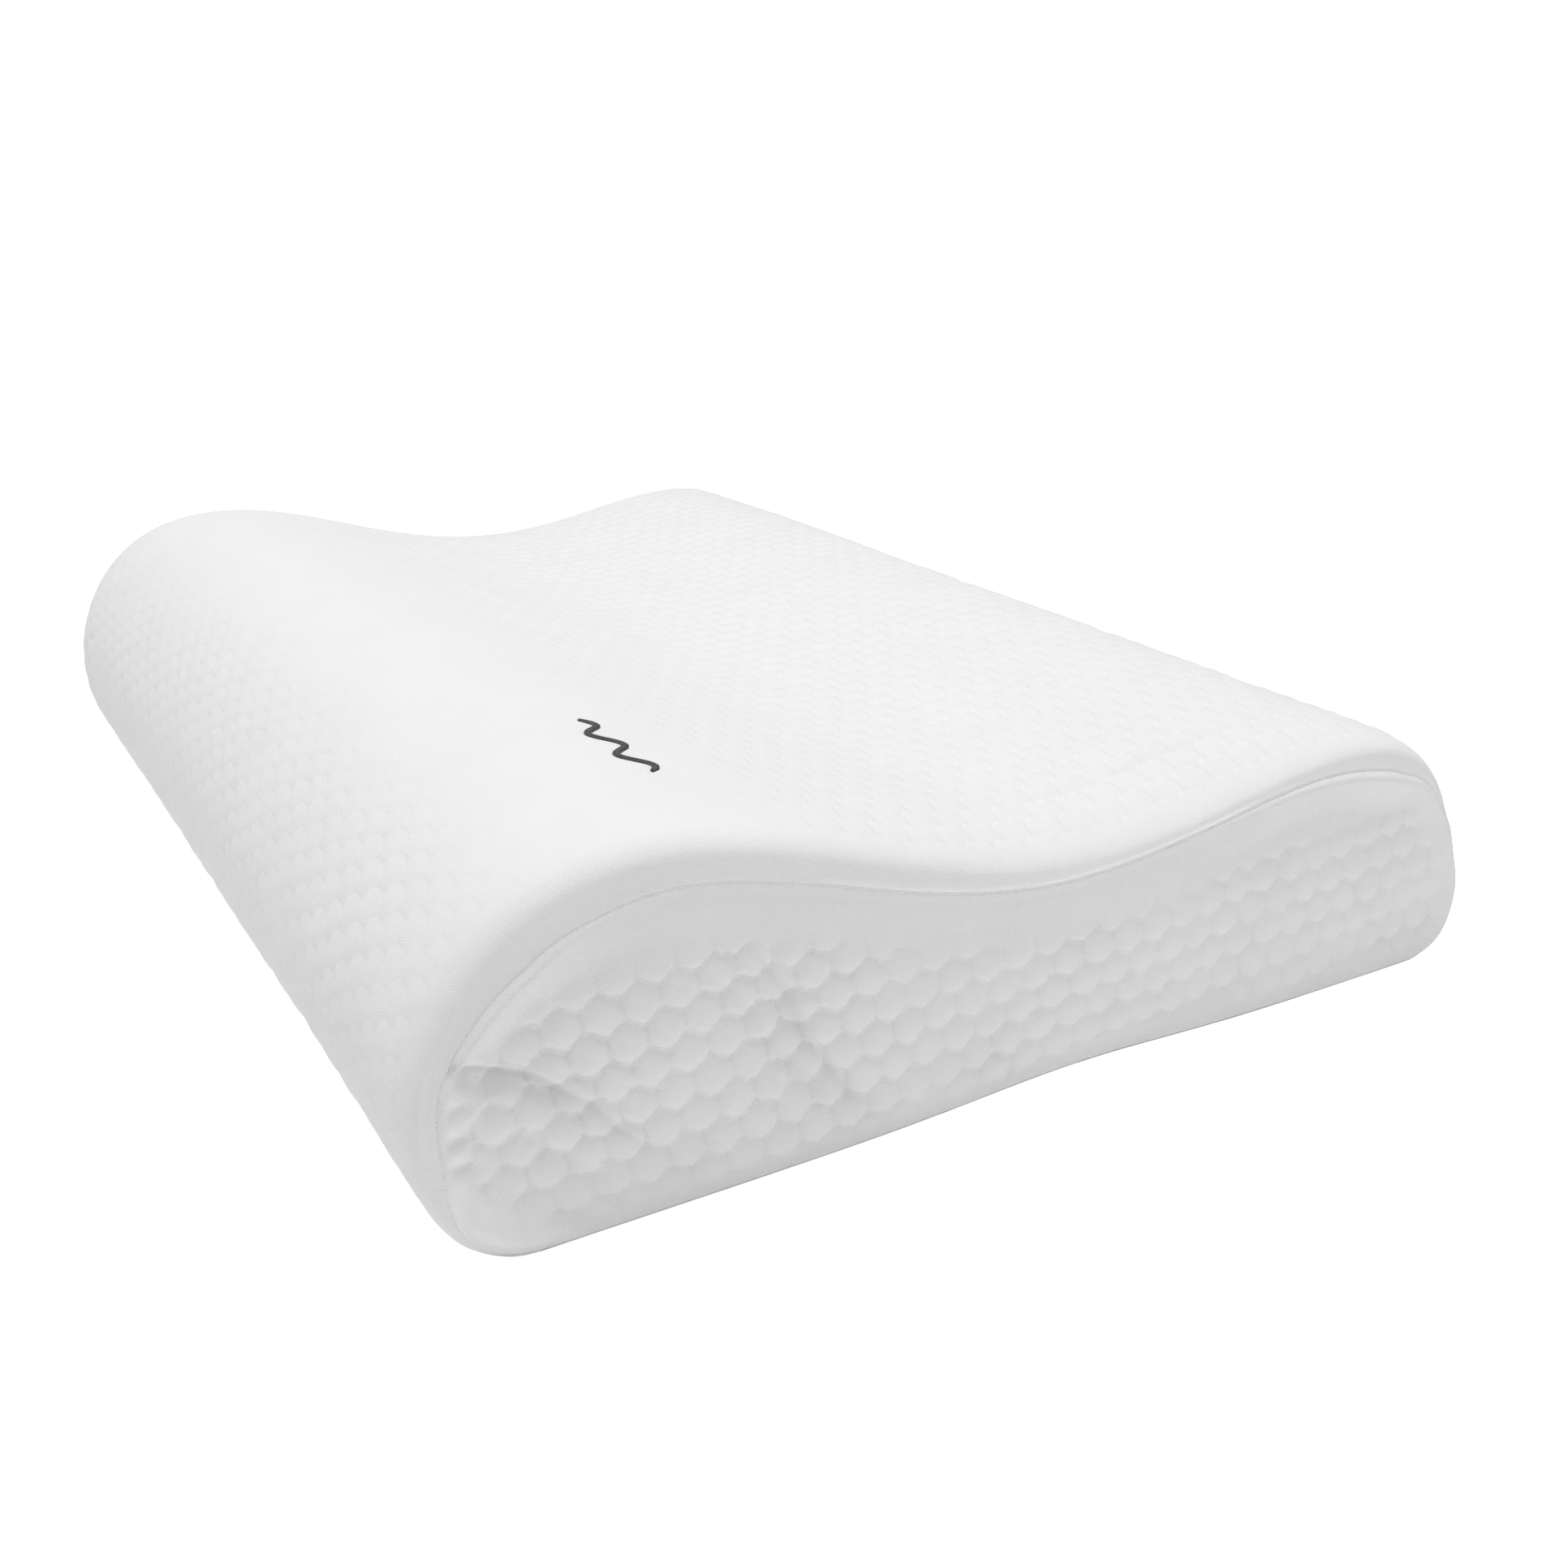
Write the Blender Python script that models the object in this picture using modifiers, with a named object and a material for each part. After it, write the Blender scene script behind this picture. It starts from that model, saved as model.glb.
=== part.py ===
"""Contour neck pillow: a moulded foam core in a thin inner liner, inside a zipped knit cover.

Frame: +X along the length, +Y from the high lobe (front) to the low lobe (rear), +Z up.
"Right" is the +X end, "left" the -X end. Origin: centre of the flat underside.
Units: metres in the scene; the sizes below are in millimetres and are multiplied by MM.
"""
import math

import bmesh
import bpy
import numpy as np
from mathutils import Vector

MM = 0.001
SIDES = (("right", 1), ("left", -1))

# ---- overall form ---------------------------------------------------------------------------
LENGTH = 500.0
HALF_LENGTH = LENGTH / 2
# Outer contour of the cross-section, (y, z), from the underside of the high lobe, over the top,
# to the underside of the low lobe. Between its two ends the underside is flat at z = 0.
CONTOUR = (
    (-150.0, 0.0), (-170.0, 7.0), (-179.6, 27.0), (-178.3, 58.0), (-149.0, 96.5),  # front face
    (-106.0, 105.0), (-56.0, 93.2), (2.0, 78.4), (60.0, 78.6), (112.0, 85.1),      # crest, dip
    (140.0, 83.2), (160.0, 74.5), (171.0, 59.0), (177.5, 38.0), (180.0, 19.0),     # rear face
    (173.5, 5.0), (159.0, 0.0),
)
# Rounding at each end: its extent along X, and how far it comes in to the end seam.
END_ROUND_X, END_ROUND_IN = 16.0, 9.5       # soft, on the front and top
TIGHT_ROUND_X, TIGHT_ROUND_IN = 4.4, 3.8    # tight, on the rear face and underside
ROUND_STEPS = 5
FRONT_SOFT_Z = 42.0     # soft from this height on the front face
TOP_SOFT_Y = 128.0      # soft up to here on the top
REAR_TIGHT_Z = 44.0     # tight below this height on the rear face

# ---- layers, offsets measured inward from the outer surface ---------------------------------
COVER_T = 2.6
PANEL_SET_BACK = 0.8    # end panel's face behind the end of the wrap panel
PANEL_GAP = 1.9         # end panel's outline inside the wrap panel's rim
SEAM_IN, SEAM_BACK, SEAM_R = 1.0, 1.6, 0.55
LINER_OFF, LINER_T = COVER_T + 2.0, 0.8
LINER_GAP, LINER_SEAM_IN, LINER_SEAM_R = 1.7, 0.85, 0.4
FOAM_OFF = LINER_OFF + LINER_T + 0.4
# Smallest end rounding of each layer.
COVER_MIN_ROUND, LINER_MIN_ROUND, FOAM_MIN_ROUND = TIGHT_ROUND_IN, 1.2, 0.6

# ---- zip on the rear face: heights are over the outer surface, "in" and "out" are distances
# ---- across the face from the chain's centre line -------------------------------------------
ZIP_Z = 34.0
SLOT_HALF_L, SLOT_HALF_W = 215.0, 6.0
# Foam and liner are pressed in under the zip: flat to GROOVE_FLAT, fading out at GROOVE_EDGE.
GROOVE_DEPTH, GROOVE_FLAT, GROOVE_EDGE = 1.6, 7.0, 12.0
GROOVE_HALF_L = SLOT_HALF_L + 4.0
TAPE_HALF_L = SLOT_HALF_L - 3.0
TAPE_ACROSS = (0.8, 4.5, 9.0, 13.0)     # rows of points from the inner edge to the outer
TAPE_T, TAPE_TOP = 0.5, -3.6
COIL_HALF_L = TAPE_HALF_L - 0.5
COIL_IN, COIL_OUT, COIL_BOTTOM, COIL_TOP, COIL_BEVEL = 0.8, 3.2, -3.3, -1.5, 0.5
TACK_FROM, TACK_TO, TACK_BEVEL = 212.4, 214.4, 0.4
STITCH_OUT, STITCH_TOP, STITCH_R = 8.2, 0.6, 0.3
STITCH_HALF_L = SLOT_HALF_L - 2.0

# ---- slider, in the zip's frame -------------------------------------------------------------
SLIDER_X = 203.5        # at the closed end; it travels 400 mm towards -X
SLIDER_HALF_L, SLIDER_HALF_W = 5.0, 4.4
SLIDER_BOTTOM, SLIDER_TOP = -1.2, -0.1
SLIDER_BEVEL, PLATE_CORNER = 0.2, 1.6
# Pieces joined to the top plate: name, low corner, high corner, edge bevel, upright corner radius.
SLIDER_PIECES = (
    ("slider_bottom_plate", (-4.8, -4.2, -5.3), (4.8, 4.2, -4.4), 0.2, PLATE_CORNER),
    ("slider_lip_a", (-3.2, 3.55, -3.2), (3.2, 4.25, -0.6), 0.15, 0.0),
    ("slider_lip_b", (-3.2, -4.25, -3.2), (3.2, -3.55, -0.6), 0.15, 0.0),
    ("slider_post", (2.0, -0.45, -4.9), (4.2, 0.45, -0.6), 0.0, 0.0),
    ("slider_bridge_leg_a", (1.6, -0.8, -0.6), (3.2, 0.8, 2.4), 0.0, 0.0),
    ("slider_bridge_leg_b", (-3.2, -0.8, -0.6), (-1.6, 0.8, 2.4), 0.0, 0.0),
    ("slider_bridge_top", (-3.2, -0.8, 1.7), (3.2, 0.8, 2.7), 0.25, 0.0),
)

# ---- pull tab, pointing to -X from its pivot bar --------------------------------------------
PIVOT_H = 0.8           # pivot bar above the outer surface
TAB_T, TAB_END_R, TAB_LENGTH, TAB_BEVEL = 1.0, 2.75, 28.0, 0.2
TAB_EDGE = [(0.5, 2.4), (-5.6, 2.4), (-8.0, 1.9), (-11.0, 2.1)]    # (x, y) of the +y edge
TAB_END_STEPS = 6
EYE_FROM, EYE_TO, EYE_HALF_W = -0.5, -4.4, 1.5
TAB_SLOT_FROM, TAB_SLOT_TO, TAB_SLOT_R = 2.2, 10.0, 1.1            # from the tab's tip
TAB_SLOT_STEPS = 4

# ---- label and embroidery -------------------------------------------------------------------
LABEL_W, LABEL_T, LABEL_L, LABEL_BEVEL = 20.0, 0.5, 35.0, 0.15
LABEL_Y = 112.0
LABEL_OUT = 0.7         # label's middle plane beyond the end of the pillow
MARK_X, MARK_Y = 174.0, -88.0
MARK_LENGTH, MARK_WAVES, MARK_HEIGHT, MARK_STROKE = 52.0, 2.5, 9.0, 3.0
MARK_T, MARK_LIFT = 0.6, 0.3    # thickness, and underside above the outer surface
MARK_STEPS = 40

# ---- sampling of the cross-section ----------------------------------------------------------
TOP_SAMPLES, FLAT_SAMPLES = 6000, 1200
BEND_WINDOW = 81                # samples the bend is averaged over
STRAIGHT_DENSITY = 1.0 / 26.0   # point density per mm where the contour is straight
BEND_DENSITY = 0.42             # density added per square root of the bend
FLAT_DENSITY = 1.0 / 62.0       # density on the flat underside
DENSITY_PER_POINT = 1.25        # integrated density that makes one point
CLEARANCE = 3.2                 # spaced points this close to a fixed one are dropped

# ---- scene ----------------------------------------------------------------------------------
for old in list(bpy.data.objects):
    bpy.data.objects.remove(old, do_unlink=True)

pillow = bpy.data.collections.new("contour_pillow")
helpers = bpy.data.collections.new("cutters")
bpy.context.scene.collection.children.link(pillow)
bpy.context.scene.collection.children.link(helpers)

frame = bpy.data.objects.new("pillow_frame", None)
pillow.objects.link(frame)


# ---- materials ------------------------------------------------------------------------------
def material(name, rgb, roughness):
    mat = bpy.data.materials.new(name)
    mat.use_nodes = True
    shader = mat.node_tree.nodes["Principled BSDF"]
    shader.inputs["Base Color"].default_value = (*rgb, 1.0)
    shader.inputs["Roughness"].default_value = roughness
    mat.diffuse_color = (*rgb, 1.0)
    return mat


def material_copy(mat, name):
    twin = mat.copy()
    twin.name = name
    return twin


knit = material("white_knit", rgb=(0.86, 0.86, 0.86), roughness=0.9)
panel_knit = material("white_panel_knit", rgb=(0.84, 0.84, 0.84), roughness=0.9)
jersey = material("liner_jersey", rgb=(0.80, 0.80, 0.78), roughness=0.9)
foam = material("memory_foam", rgb=(0.86, 0.82, 0.68), roughness=0.95)
thread = material("white_thread", rgb=(0.82, 0.82, 0.82), roughness=0.7)
tape_cloth = material("zip_tape_cloth", rgb=(0.80, 0.80, 0.80), roughness=0.8)
nylon = material("zip_nylon", rgb=(0.83, 0.83, 0.83), roughness=0.4)
slider_paint = material("zip_slider_paint", rgb=(0.80, 0.80, 0.80), roughness=0.35)
tab_paint = material("zip_tab_paint", rgb=(0.80, 0.80, 0.80), roughness=0.35)
satin = material("label_satin", rgb=(0.88, 0.88, 0.87), roughness=0.45)
grey_thread = material("grey_embroidery_thread", rgb=(0.07, 0.07, 0.075), roughness=0.5)


# ---- the cross-section ----------------------------------------------------------------------
def contour_points(points, count):
    """A cubic spline through the points, tangent to the flat underside at both ends."""
    knots = np.array(points, float)
    spans = np.linalg.norm(np.diff(knots, axis=0), axis=1)
    params = np.concatenate([[0.0], np.cumsum(spans)])
    slopes = np.diff(knots, axis=0) / spans[:, None]
    end_slope = np.array((-1.0, 0.0))
    size = len(knots)

    # Solve for the second derivatives at the knots.
    matrix, right_side = np.zeros((size, size)), np.zeros((size, 2))
    matrix[0, :2] = 2 * spans[0], spans[0]
    matrix[-1, -2:] = spans[-1], 2 * spans[-1]
    right_side[0] = 6 * (slopes[0] - end_slope)
    right_side[-1] = 6 * (end_slope - slopes[-1])
    for i in range(1, size - 1):
        matrix[i, i - 1:i + 2] = spans[i - 1], 2 * (spans[i - 1] + spans[i]), spans[i]
        right_side[i] = 6 * (slopes[i] - slopes[i - 1])
    second = np.linalg.solve(matrix, right_side)

    u = np.linspace(0.0, params[-1], count)
    k = np.clip(np.searchsorted(params, u, side="right") - 1, 0, size - 2)
    span = spans[k][:, None]
    before = (params[k + 1] - u)[:, None] / span
    after = (u - params[k])[:, None] / span
    bow = (before ** 3 - before) * second[k] + (after ** 3 - after) * second[k + 1]
    return before * knots[k] + after * knots[k + 1] + bow * span ** 2 / 6


OVER_TOP = contour_points(CONTOUR, TOP_SAMPLES)
UNDERSIDE = np.linspace(OVER_TOP[-1], OVER_TOP[0], FLAT_SAMPLES)[1:]
DENSE = np.concatenate([OVER_TOP, UNDERSIDE])   # closed: the last point repeats the first
DENSE[:, 1] = np.maximum(DENSE[:, 1], 0.0)
STEP = np.linalg.norm(np.diff(DENSE, axis=0), axis=1)
ARC = np.concatenate([[0.0], np.cumsum(STEP)])
PERIMETER = float(ARC[-1])
FLAT_START = float(ARC[TOP_SAMPLES - 1])
TANGENT = np.gradient(DENSE, ARC, axis=0)
TANGENT /= np.linalg.norm(TANGENT, axis=1)[:, None]
NORMAL = np.stack([-TANGENT[:, 1], TANGENT[:, 0]], axis=1)      # outward


def contour_at(arc):
    """Point and outward normal of the outer contour at one or more arc lengths, in mm."""
    arc = np.mod(np.asarray(arc, float), PERIMETER)
    point, normal = (
        np.stack([np.interp(arc, ARC, values[:, i]) for i in (0, 1)], axis=-1)
        for values in (DENSE, NORMAL))
    return point, normal / np.linalg.norm(normal, axis=-1, keepdims=True)


def surface_point(x, arc, height):
    """Scene point at x and an arc length, at a height over the outer surface."""
    point, normal = contour_at(arc)
    y, z = point + normal * height
    return Vector((x * MM, y * MM, z * MM))


def nearest_arc(values, target, region):
    """Arc length where the values come closest to the target within a region of the contour."""
    inside = np.where(region)[0]
    return float(ARC[inside[np.argmin(np.abs(values[inside] - target))]])


def arc_on_top(y):
    return nearest_arc(OVER_TOP[:, 0], y, OVER_TOP[:, 1] > 60.0)


def arc_on_front(z):
    return nearest_arc(OVER_TOP[:, 1], z, OVER_TOP[:, 0] < -120.0)


def arc_on_rear(z):
    return nearest_arc(OVER_TOP[:, 1], z, OVER_TOP[:, 0] > 120.0)


ZIP_ARC = arc_on_rear(ZIP_Z)


def stations():
    """Arc lengths of the section's points: close at bends, and on the slot's and groove's edges."""
    angle = np.unwrap(np.arctan2(TANGENT[:, 1], TANGENT[:, 0]))
    bend = np.abs(np.gradient(angle, ARC))
    bend = np.convolve(bend, np.ones(BEND_WINDOW) / BEND_WINDOW, mode="same")
    density = np.where(ARC < FLAT_START, STRAIGHT_DENSITY + BEND_DENSITY * np.sqrt(bend),
                       FLAT_DENSITY)
    total = np.concatenate([[0.0], np.cumsum(0.5 * (density[1:] + density[:-1]) * STEP)])
    count = int(round(total[-1] / DENSITY_PER_POINT))
    spaced = np.interp(np.arange(count) / count * total[-1], total, ARC)

    fixed = [ZIP_ARC + across for across in (
        -GROOVE_EDGE, -GROOVE_FLAT, -SLOT_HALF_W, 0.0, SLOT_HALF_W, GROOVE_FLAT, GROOVE_EDGE)]
    fixed += [0.0, FLAT_START]

    def distance(a, b):
        return min(abs(a - b), PERIMETER - abs(a - b))

    kept = [arc for arc in spaced if min(distance(arc, f) for f in fixed) > CLEARANCE]
    return np.array(sorted(kept + fixed))


STATIONS = stations()


def softness():
    """1 where the end rounds over softly (front and top), 0 where it is tight."""
    def ease(v):
        return v * v * (3.0 - 2.0 * v)

    tight_from, soft_to = arc_on_rear(REAR_TIGHT_Z), arc_on_top(TOP_SOFT_Y)
    rise = np.clip(STATIONS / arc_on_front(FRONT_SOFT_Z), 0.0, 1.0)
    drop = np.clip((tight_from - STATIONS) / (tight_from - soft_to), 0.0, 1.0)
    return ease(rise) * ease(drop)


SOFTNESS = softness()
ROUND_X = TIGHT_ROUND_X + (END_ROUND_X - TIGHT_ROUND_X) * SOFTNESS
ROUND_IN = TIGHT_ROUND_IN + (END_ROUND_IN - TIGHT_ROUND_IN) * SOFTNESS
# How far the foam and liner are pressed in at each station between the ends.
GROOVE = GROOVE_DEPTH * np.clip(
    (GROOVE_EDGE - np.abs(STATIONS - ZIP_ARC)) / (GROOVE_EDGE - GROOVE_FLAT), 0.0, 1.0)


def section(x, inset):
    """Section at x, set in from the outer contour; both may differ from station to station."""
    points, normals = contour_at(STATIONS)
    points = points - normals * np.broadcast_to(inset, len(STATIONS))[:, None]
    xs = np.broadcast_to(x, len(STATIONS))
    return [Vector((u * MM, y * MM, z * MM)) for u, (y, z) in zip(xs, points)]


def rim_inset(offset, smallest):
    """How far in from the outer contour a layer's end rim lies, at each station."""
    return offset + np.maximum(ROUND_IN - offset, smallest)


def layer_rings(offset, middle_x, smallest, pressed=0.0):
    """Sections of a layer from -X to +X: a rounded end, two middle sections, a rounded end."""
    along = np.maximum(ROUND_X - offset, smallest)
    inward = rim_inset(offset, smallest) - offset
    end = []
    for i in range(ROUND_STEPS + 1):
        angle = 0.5 * math.pi * i / ROUND_STEPS
        end.append((HALF_LENGTH - offset - along * (1.0 - math.sin(angle)),
                    offset + inward * (1.0 - math.cos(angle))))
    rings = [section(-x, inset) for x, inset in reversed(end)]
    rings += [section(x, offset + pressed) for x in (-middle_x, middle_x)]
    rings += [section(x, inset) for x, inset in end]
    return rings


# ---- builders -------------------------------------------------------------------------------
def add_object(name, data, mat, parent=frame, collection=pillow):
    obj = bpy.data.objects.new(name, data)
    data.materials.append(mat)
    collection.objects.link(obj)
    obj.parent = parent
    return obj


def to_mesh(name, bm):
    mesh = bpy.data.meshes.new(name)
    bm.to_mesh(mesh)
    bm.free()
    return mesh


def loft(name, rings, mat, closed_ends=False, skip=()):
    """An outward-facing skin over closed rings; skip lists faces left out, as (point, ring)."""
    bm = bmesh.new()
    grid = [[bm.verts.new(p) for p in ring] for ring in rings]
    count = len(rings[0])
    for j in range(len(rings) - 1):
        for i in range(count):
            if (i, j) in skip:
                continue
            k = (i + 1) % count
            bm.faces.new((grid[j][i], grid[j + 1][i], grid[j + 1][k], grid[j][k]))
    if closed_ends:
        bm.faces.new(grid[0])
        bm.faces.new(list(reversed(grid[-1])))
        bmesh.ops.triangulate(bm, faces=[f for f in bm.faces if len(f.verts) > 4])
        bmesh.ops.recalc_face_normals(bm, faces=bm.faces)
    mesh = to_mesh(name, bm)
    mesh.shade_smooth()
    mesh.set_sharp_from_angle(angle=math.radians(40))
    return add_object(name, mesh, mat)


def sheet(name, rows, mat):
    """An open sheet from rows of points."""
    bm = bmesh.new()
    grid = [[bm.verts.new(p) for p in row] for row in rows]
    for j in range(len(rows) - 1):
        for i in range(len(rows[0]) - 1):
            bm.faces.new((grid[j][i], grid[j + 1][i], grid[j + 1][i + 1], grid[j][i + 1]))
    return add_object(name, to_mesh(name, bm), mat)


def solidify(obj, thickness):
    """Thicken a skin inward from its face."""
    mod = obj.modifiers.new("thickness", "SOLIDIFY")
    mod.thickness = thickness * MM
    mod.offset = -1.0
    mod.use_even_offset = True
    mod.use_rim = True


def bevel_edges(obj, width, segments):
    mod = obj.modifiers.new("edges", "BEVEL")
    mod.width = width * MM
    mod.segments = segments
    mod.limit_method = "ANGLE"
    mod.angle_limit = math.radians(50)


def add_spline(curve, points, closed=True):
    spline = curve.splines.new("POLY")
    spline.points.add(len(points) - 1)
    for target, point in zip(spline.points, points):
        target.co = (*point, 1.0)
    spline.use_cyclic_u = closed


def cord(name, points, radius, mat, resolution=1, closed=True):
    """A round cord through the points; an open one has capped ends."""
    curve = bpy.data.curves.new(name, "CURVE")
    curve.dimensions = "3D"
    add_spline(curve, points, closed)
    curve.bevel_depth = radius * MM
    curve.bevel_resolution = resolution
    curve.use_fill_caps = not closed
    add_object(name, curve, mat)


def flat_curve(name, outlines, thickness):
    """A filled plate from closed outlines of scene points (x, y); inner outlines are holes."""
    curve = bpy.data.curves.new(name, "CURVE")
    curve.dimensions = "2D"
    curve.fill_mode = "BOTH"
    curve.extrude = thickness / 2 * MM
    for outline in outlines:
        add_spline(curve, [(x, y, 0.0) for x, y in outline])
    return curve


def end_plate(name, inset, x_mid, thickness, mat):
    """A flat panel with the section's outline, drawn in YZ and extruded along X."""
    outline = [(p.y, p.z) for p in section(0.0, inset)]
    obj = add_object(name, flat_curve(name, [outline], thickness), mat)
    obj.location = (x_mid * MM, 0.0, 0.0)
    obj.rotation_euler = (math.radians(90), 0.0, math.radians(90))


def block(name, low, high, mat, parent, bevel=0.0, corner=0.0, collection=pillow):
    """A box between two corners, with optional bevelled edges and rounded upright corners."""
    bm = bmesh.new()
    bmesh.ops.create_cube(bm, size=1.0)
    size = [(h - l) * MM for l, h in zip(low, high)]
    middle = [(h + l) / 2 * MM for l, h in zip(low, high)]
    bmesh.ops.scale(bm, vec=size, verts=bm.verts)
    bmesh.ops.translate(bm, vec=middle, verts=bm.verts)
    if corner:
        upright = [e for e in bm.edges
                   if abs((e.verts[0].co - e.verts[1].co).z) > 0.5 * size[2]]
        bmesh.ops.bevel(bm, geom=upright, offset=corner * MM, segments=3, profile=0.5,
                        affect="EDGES")
    obj = add_object(name, to_mesh(name, bm), mat, parent, collection)
    if bevel:
        bevel_edges(obj, bevel, segments=2)
    return obj


def union(obj, other):
    other.hide_render = True
    other.display_type = "WIRE"
    mod = obj.modifiers.new("join_" + other.name, "BOOLEAN")
    mod.operation = "UNION"
    mod.solver = "EXACT"
    mod.object = other


# ---- layers ---------------------------------------------------------------------------------
def build_foam_core():
    rings = layer_rings(FOAM_OFF, GROOVE_HALF_L, FOAM_MIN_ROUND, GROOVE)
    loft("foam_core", rings, foam, closed_ends=True)


def build_liner():
    rings = layer_rings(LINER_OFF, GROOVE_HALF_L, LINER_MIN_ROUND, GROOVE)
    solidify(loft("liner_wrap", rings, jersey), LINER_T)
    rim = rim_inset(LINER_OFF, LINER_MIN_ROUND)
    for side, sign in SIDES:
        x = sign * (HALF_LENGTH - LINER_OFF - LINER_T / 2)
        end_plate("liner_end_" + side, rim + LINER_GAP, x, LINER_T,
                  material_copy(jersey, "liner_jersey_" + side))
        cord("liner_seam_" + side, section(x, rim + LINER_SEAM_IN), LINER_SEAM_R,
             material_copy(thread, "liner_thread_" + side), resolution=0)


def build_cover():
    """Wrap panel with the zip's slot left open, end panels, and cords along the end seams."""
    slot_ring = ROUND_STEPS + 1     # the first middle section, at the slot's -X end
    slot_from, slot_to = ZIP_ARC - SLOT_HALF_W - 1e-6, ZIP_ARC + SLOT_HALF_W - 1e-6
    slot = [(i, slot_ring) for i, arc in enumerate(STATIONS) if slot_from <= arc < slot_to]
    rings = layer_rings(0.0, SLOT_HALF_L, COVER_MIN_ROUND)
    solidify(loft("cover_wrap", rings, knit, skip=slot), COVER_T)
    for side, sign in SIDES:
        end_plate("end_panel_" + side, ROUND_IN + PANEL_GAP,
                  sign * (HALF_LENGTH - PANEL_SET_BACK - COVER_T / 2), COVER_T,
                  material_copy(panel_knit, "white_panel_knit_" + side))
        seam = section(sign * (HALF_LENGTH - SEAM_BACK), ROUND_IN + SEAM_IN)
        cord("seam_thread_" + side, seam, SEAM_R, material_copy(thread, "seam_thread_" + side))


# ---- zip ------------------------------------------------------------------------------------
def build_zip_frame():
    """The zip's frame: x along the chain, y down across it, z outward from the rear face."""
    point, normal = contour_at(ZIP_ARC)
    empty = bpy.data.objects.new("zip_frame", None)
    pillow.objects.link(empty)
    empty.parent = frame
    empty.location = (0.0, point[0] * MM, point[1] * MM)
    empty.rotation_euler = (math.atan2(-normal[0], normal[1]), 0.0, 0.0)
    return empty


def build_chain(zip_frame):
    """Tape, coil and stitch line above and below the centre line, and a bartack at each end."""
    for side, sign in (("upper", -1), ("lower", 1)):
        across = sorted(sign * s for s in TAPE_ACROSS)
        rows = [[surface_point(x, ZIP_ARC + s, TAPE_TOP) for s in across]
                for x in (-TAPE_HALF_L, TAPE_HALF_L)]
        tape_mat = material_copy(tape_cloth, "zip_tape_cloth_" + side)
        solidify(sheet("zip_tape_" + side, rows, tape_mat), TAPE_T)

        y_low, y_high = sorted((sign * COIL_IN, sign * COIL_OUT))
        block("zip_coil_" + side, (-COIL_HALF_L, y_low, COIL_BOTTOM),
              (COIL_HALF_L, y_high, COIL_TOP), material_copy(nylon, "zip_nylon_" + side),
              zip_frame, bevel=COIL_BEVEL)

        line = [surface_point(x, ZIP_ARC + sign * STITCH_OUT, STITCH_TOP)
                for x in (-STITCH_HALF_L, STITCH_HALF_L)]
        cord("zip_stitch_" + side, line, STITCH_R,
             material_copy(thread, "zip_stitch_thread_" + side), closed=False)

    for side, sign in SIDES:
        x_low, x_high = sorted((sign * TACK_FROM, sign * TACK_TO))
        block("zip_bartack_" + side, (x_low, -COIL_OUT, COIL_BOTTOM),
              (x_high, COIL_OUT, COIL_TOP), material_copy(thread, "zip_bartack_thread_" + side),
              zip_frame, bevel=TACK_BEVEL)


def build_slider(zip_frame):
    """Two plates joined by a post, side lips over the coils, and a bridge on top."""
    slider = block("zip_slider", (-SLIDER_HALF_L, -SLIDER_HALF_W, SLIDER_BOTTOM),
                   (SLIDER_HALF_L, SLIDER_HALF_W, SLIDER_TOP), slider_paint, zip_frame,
                   bevel=SLIDER_BEVEL, corner=PLATE_CORNER)
    slider.location = (SLIDER_X * MM, 0.0, 0.0)
    for name, low, high, bevel, corner in SLIDER_PIECES:
        union(slider, block(name, low, high, slider_paint, slider, bevel, corner, helpers))
    return slider


def half_circle(centre_x, radius, start, steps):
    """Points of a half circle about (centre_x, 0), anticlockwise from a start in degrees."""
    angles = [math.radians(start + 180.0 * i / steps) for i in range(steps + 1)]
    return [(centre_x + radius * math.cos(a), radius * math.sin(a)) for a in angles]


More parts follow.
